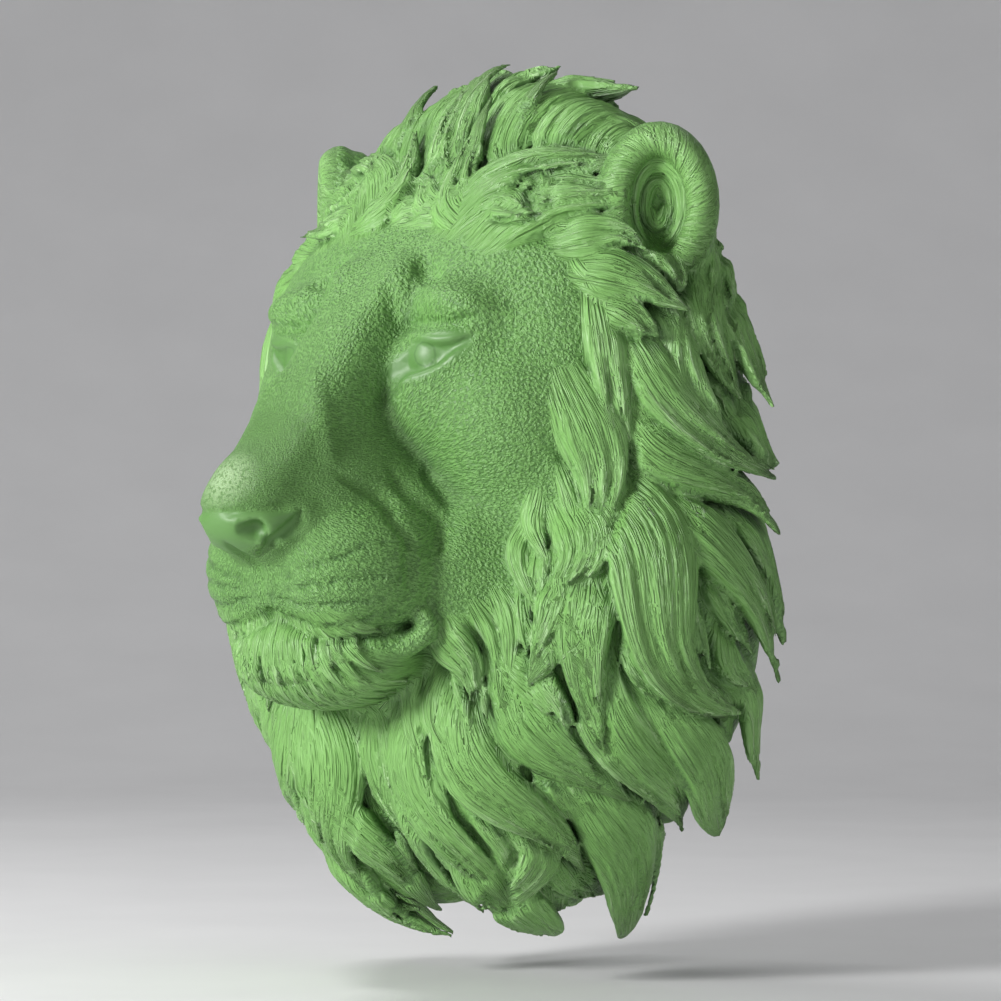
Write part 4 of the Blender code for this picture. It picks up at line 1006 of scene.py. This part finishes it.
def painted_resin():
    """Satin green paint over carved strands and fur, with painted shade in the hollows, in the low places of
    the fur, in the whisker rows and round the iris, a painted highlight on the nose top, and paler along the
    edges.
    """
    paint = Paint("painted_resin")
    hair = paint.attribute("hair")
    hollow, edge, bare = paint.attribute("hollow"), paint.attribute("edge"), paint.attribute("bare")
    strand = paint.attribute("strand", "Vector")
    chin = paint.attribute("chin")
    skin = paint.math("SUBTRACT", 1.0, paint.math("MAXIMUM", hair, bare))
    coarse = paint.spread(paint.noise(strand, 1.0, 1.0, 0.25), 0.32, 0.68)
    thin = paint.spread(paint.noise(strand, 2.6, 1.0, 0.1), 0.32, 0.68)
    strands = paint.math("ADD", paint.times(coarse, 0.65), paint.times(thin, 0.35))
    strands = paint.times(hair, strands)
    fur = paint.spread(paint.noise(paint.attribute("fur", "Vector"), 1.35, 1.0, 0.3), 0.36, 0.64)
    beard = paint.spread(paint.noise(paint.attribute("beard", "Vector"), 0.9, 2.0, 0.3), 0.34, 0.66)
    place = paint.nodes.new("ShaderNodeTexCoord").outputs["Object"]
    stipple = paint.spread(paint.noise(place, 620.0, 2.0), 0.36, 0.64)
    soft = paint.math("SUBTRACT", skin, paint.times(chin, skin))
    coat = paint.math("ADD", paint.times(fur, 0.7), paint.times(stipple, 0.3))
    coat = paint.times(soft, coat)
    beard = paint.times(paint.times(chin, skin), beard)
    broken = paint.spread(paint.noise(place, 230.0, 1.0), 0.35, 0.60)
    rows = paint.times(paint.attribute("whisker"), broken)
    coat = paint.math("SUBTRACT", coat, paint.times(rows, 1.2))
    normal = paint.bump(coat, FUR_DEPTH)
    normal = paint.bump(beard, BEARD_DEPTH, normal)
    normal = paint.bump(strands, STRAND_DEPTH, normal)
    paint.links.new(normal, paint.shader.inputs["Normal"])
    cloudy = paint.spread(paint.noise(place, 24.0, 3.0), 0.3, 0.7)
    colour = paint.tint(cloudy, GREEN_DEEP, GREEN)
    plain_skin = paint.math("SUBTRACT", 1.0, hair)
    colour = paint.tint(paint.times(plain_skin, 0.85), colour, GREEN_FUR)
    colour = paint.tint(paint.times(bare, 0.62), colour, GREEN_BARE_AND_PIT_SHADE)
    # Painted shade: the low places of the fur relief are darkened.
    pit_shade = paint.times(soft, paint.spread(fur, 0.0, 0.6, 0.65, 0.0))
    colour = paint.tint(pit_shade, colour, GREEN_BARE_AND_PIT_SHADE)
    # Painted shade: darker the deeper a point lies in a hollow.
    colour = paint.tint(paint.spread(hollow, 0.28, 0.90, 0.0, 0.80), colour, GREEN_PAINTED_SHADE)
    # Painted shade in the dents of the whisker rows.
    colour = paint.tint(paint.times(rows, 0.55), colour, GREEN_PAINTED_SHADE)
    # Painted shade: a dark ring round the iris stands in for the shadow of its edge.
    iris = paint.attribute("iris")
    ring = paint.times(paint.spread(iris, 4.8, 5.3), paint.spread(iris, 5.6, 6.1, 0.4, 0.0))
    colour = paint.tint(ring, colour, GREEN_PAINTED_SHADE)
    # Painted highlight: pale paint on the top of the nose.
    nose_highlight = paint.times(paint.attribute("nose_highlight"), paint.spread(stipple, 0.1, 0.5, 0.2, 0.9))
    colour = paint.tint(nose_highlight, colour, GREEN_PALE)
    # Paler along edges and on the crests of the strands.
    pale_edges = paint.times(paint.spread(edge, 0.25, 0.75), paint.spread(strands, 0.55, 0.9, 0.08, 0.7))
    colour = paint.tint(pale_edges, colour, GREEN_PALE)
    paint.links.new(colour, paint.shader.inputs["Base Color"])
    rough = paint.spread(cloudy, 0.0, 1.0, 0.42, 0.54)
    paint.links.new(rough, paint.shader.inputs["Roughness"])
    return paint.material


def dress():
    """The carved head as one piece that stands for the CAD solid."""
    clay = sculpt(CELL)
    comb_rim(clay)
    head = mesh_from(clay, "lion_head_carved")
    bpy.context.scene.collection.objects.link(head)
    thin(head, TRIANGLES)
    cut_flat(head)
    cut_keyhole(head)
    head.data.shade_smooth()
    flatten_back(head)
    comb(head, clay.laid)
    read_form(head, clay)
    head.data.materials.clear()
    head.data.materials.append(painted_resin())
    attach(head, "root")
    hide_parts("lion_head_mask")
    return head


def plain(name, colour, roughness):
    """A plain matte material with a faint grain."""
    paint = Paint(name)
    place = paint.nodes.new("ShaderNodeTexCoord").outputs["Object"]
    grain = paint.spread(paint.noise(place, 9.0, 4.0), 0.3, 0.7)
    mottled = paint.tint(grain, tuple(0.96 * c for c in colour), colour)
    paint.links.new(mottled, paint.shader.inputs["Base Color"])
    paint.shader.inputs["Roughness"].default_value = roughness
    return paint.material


def set_floor(right, back):
    """A pale floor that curves up behind the head into a plain backdrop."""
    rows = [(-20.0, 0.0)]
    for turn in np.radians(np.linspace(0, 90, 25)):
        rows.append((FLOOR_RUN + FLOOR_CURVE * math.sin(turn), FLOOR_CURVE * (1 - math.cos(turn))))
    rows.append((rows[-1][0], 12.0))
    corners = [right * across - back * far + Vector((0, 0, rise))
               for far, rise in rows for across in (-20, 20)]
    mesh = bpy.data.meshes.new("floor")
    mesh.from_pydata(corners, [], [(2 * k, 2 * k + 1, 2 * k + 3, 2 * k + 2) for k in range(len(rows) - 1)])
    mesh.shade_smooth()
    floor = bpy.data.objects.new("floor", mesh)
    floor.location.z = FLOOR_UP
    mesh.materials.append(plain("pale_floor", FLOOR, 0.9))
    bpy.context.scene.collection.objects.link(floor)


def look_along(thing, direction):
    thing.rotation_mode = "QUATERNION"
    thing.rotation_quaternion = direction.to_track_quat("-Z", "Y")


def set_camera():
    """The photograph's view: level, from the lion's left front. Returns its directions right and back."""
    turn = math.radians(CAMERA_TURN)
    right = Vector((math.cos(turn), math.sin(turn), 0))
    back = Vector((math.sin(turn), -math.cos(turn), 0))
    data = bpy.data.cameras.new("camera")
    data.sensor_width = 36
    data.lens = CAMERA_LENS
    camera = bpy.data.objects.new("camera", data)
    camera.location = back * CAMERA_FAR - right * CAMERA_SHIFT
    look_along(camera, -back)
    bpy.context.scene.collection.objects.link(camera)
    bpy.context.scene.camera = camera
    return right, back


def set_lights(right, back):
    up = Vector((0, 0, 1))
    for name, way, watts, size in LAMPS:
        data = bpy.data.lights.new(name, "AREA")
        data.energy = watts
        data.size = size
        lamp = bpy.data.objects.new(name, data)
        lamp.location = right * way[0] + back * way[1] + up * way[2]
        look_along(lamp, Vector((0, -0.08, 0)) - lamp.location)
        bpy.context.scene.collection.objects.link(lamp)
    world = bpy.data.worlds.new("studio")
    world.use_nodes = True
    world.node_tree.nodes["Background"].inputs["Color"].default_value = (*WORLD, 1.0)
    world.node_tree.nodes["Background"].inputs["Strength"].default_value = WORLD_STRENGTH
    bpy.context.scene.world = world


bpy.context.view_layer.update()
dress()
right, back = set_camera()
set_floor(right, back)
set_lights(right, back)
bpy.context.scene.view_settings.view_transform = "Standard"
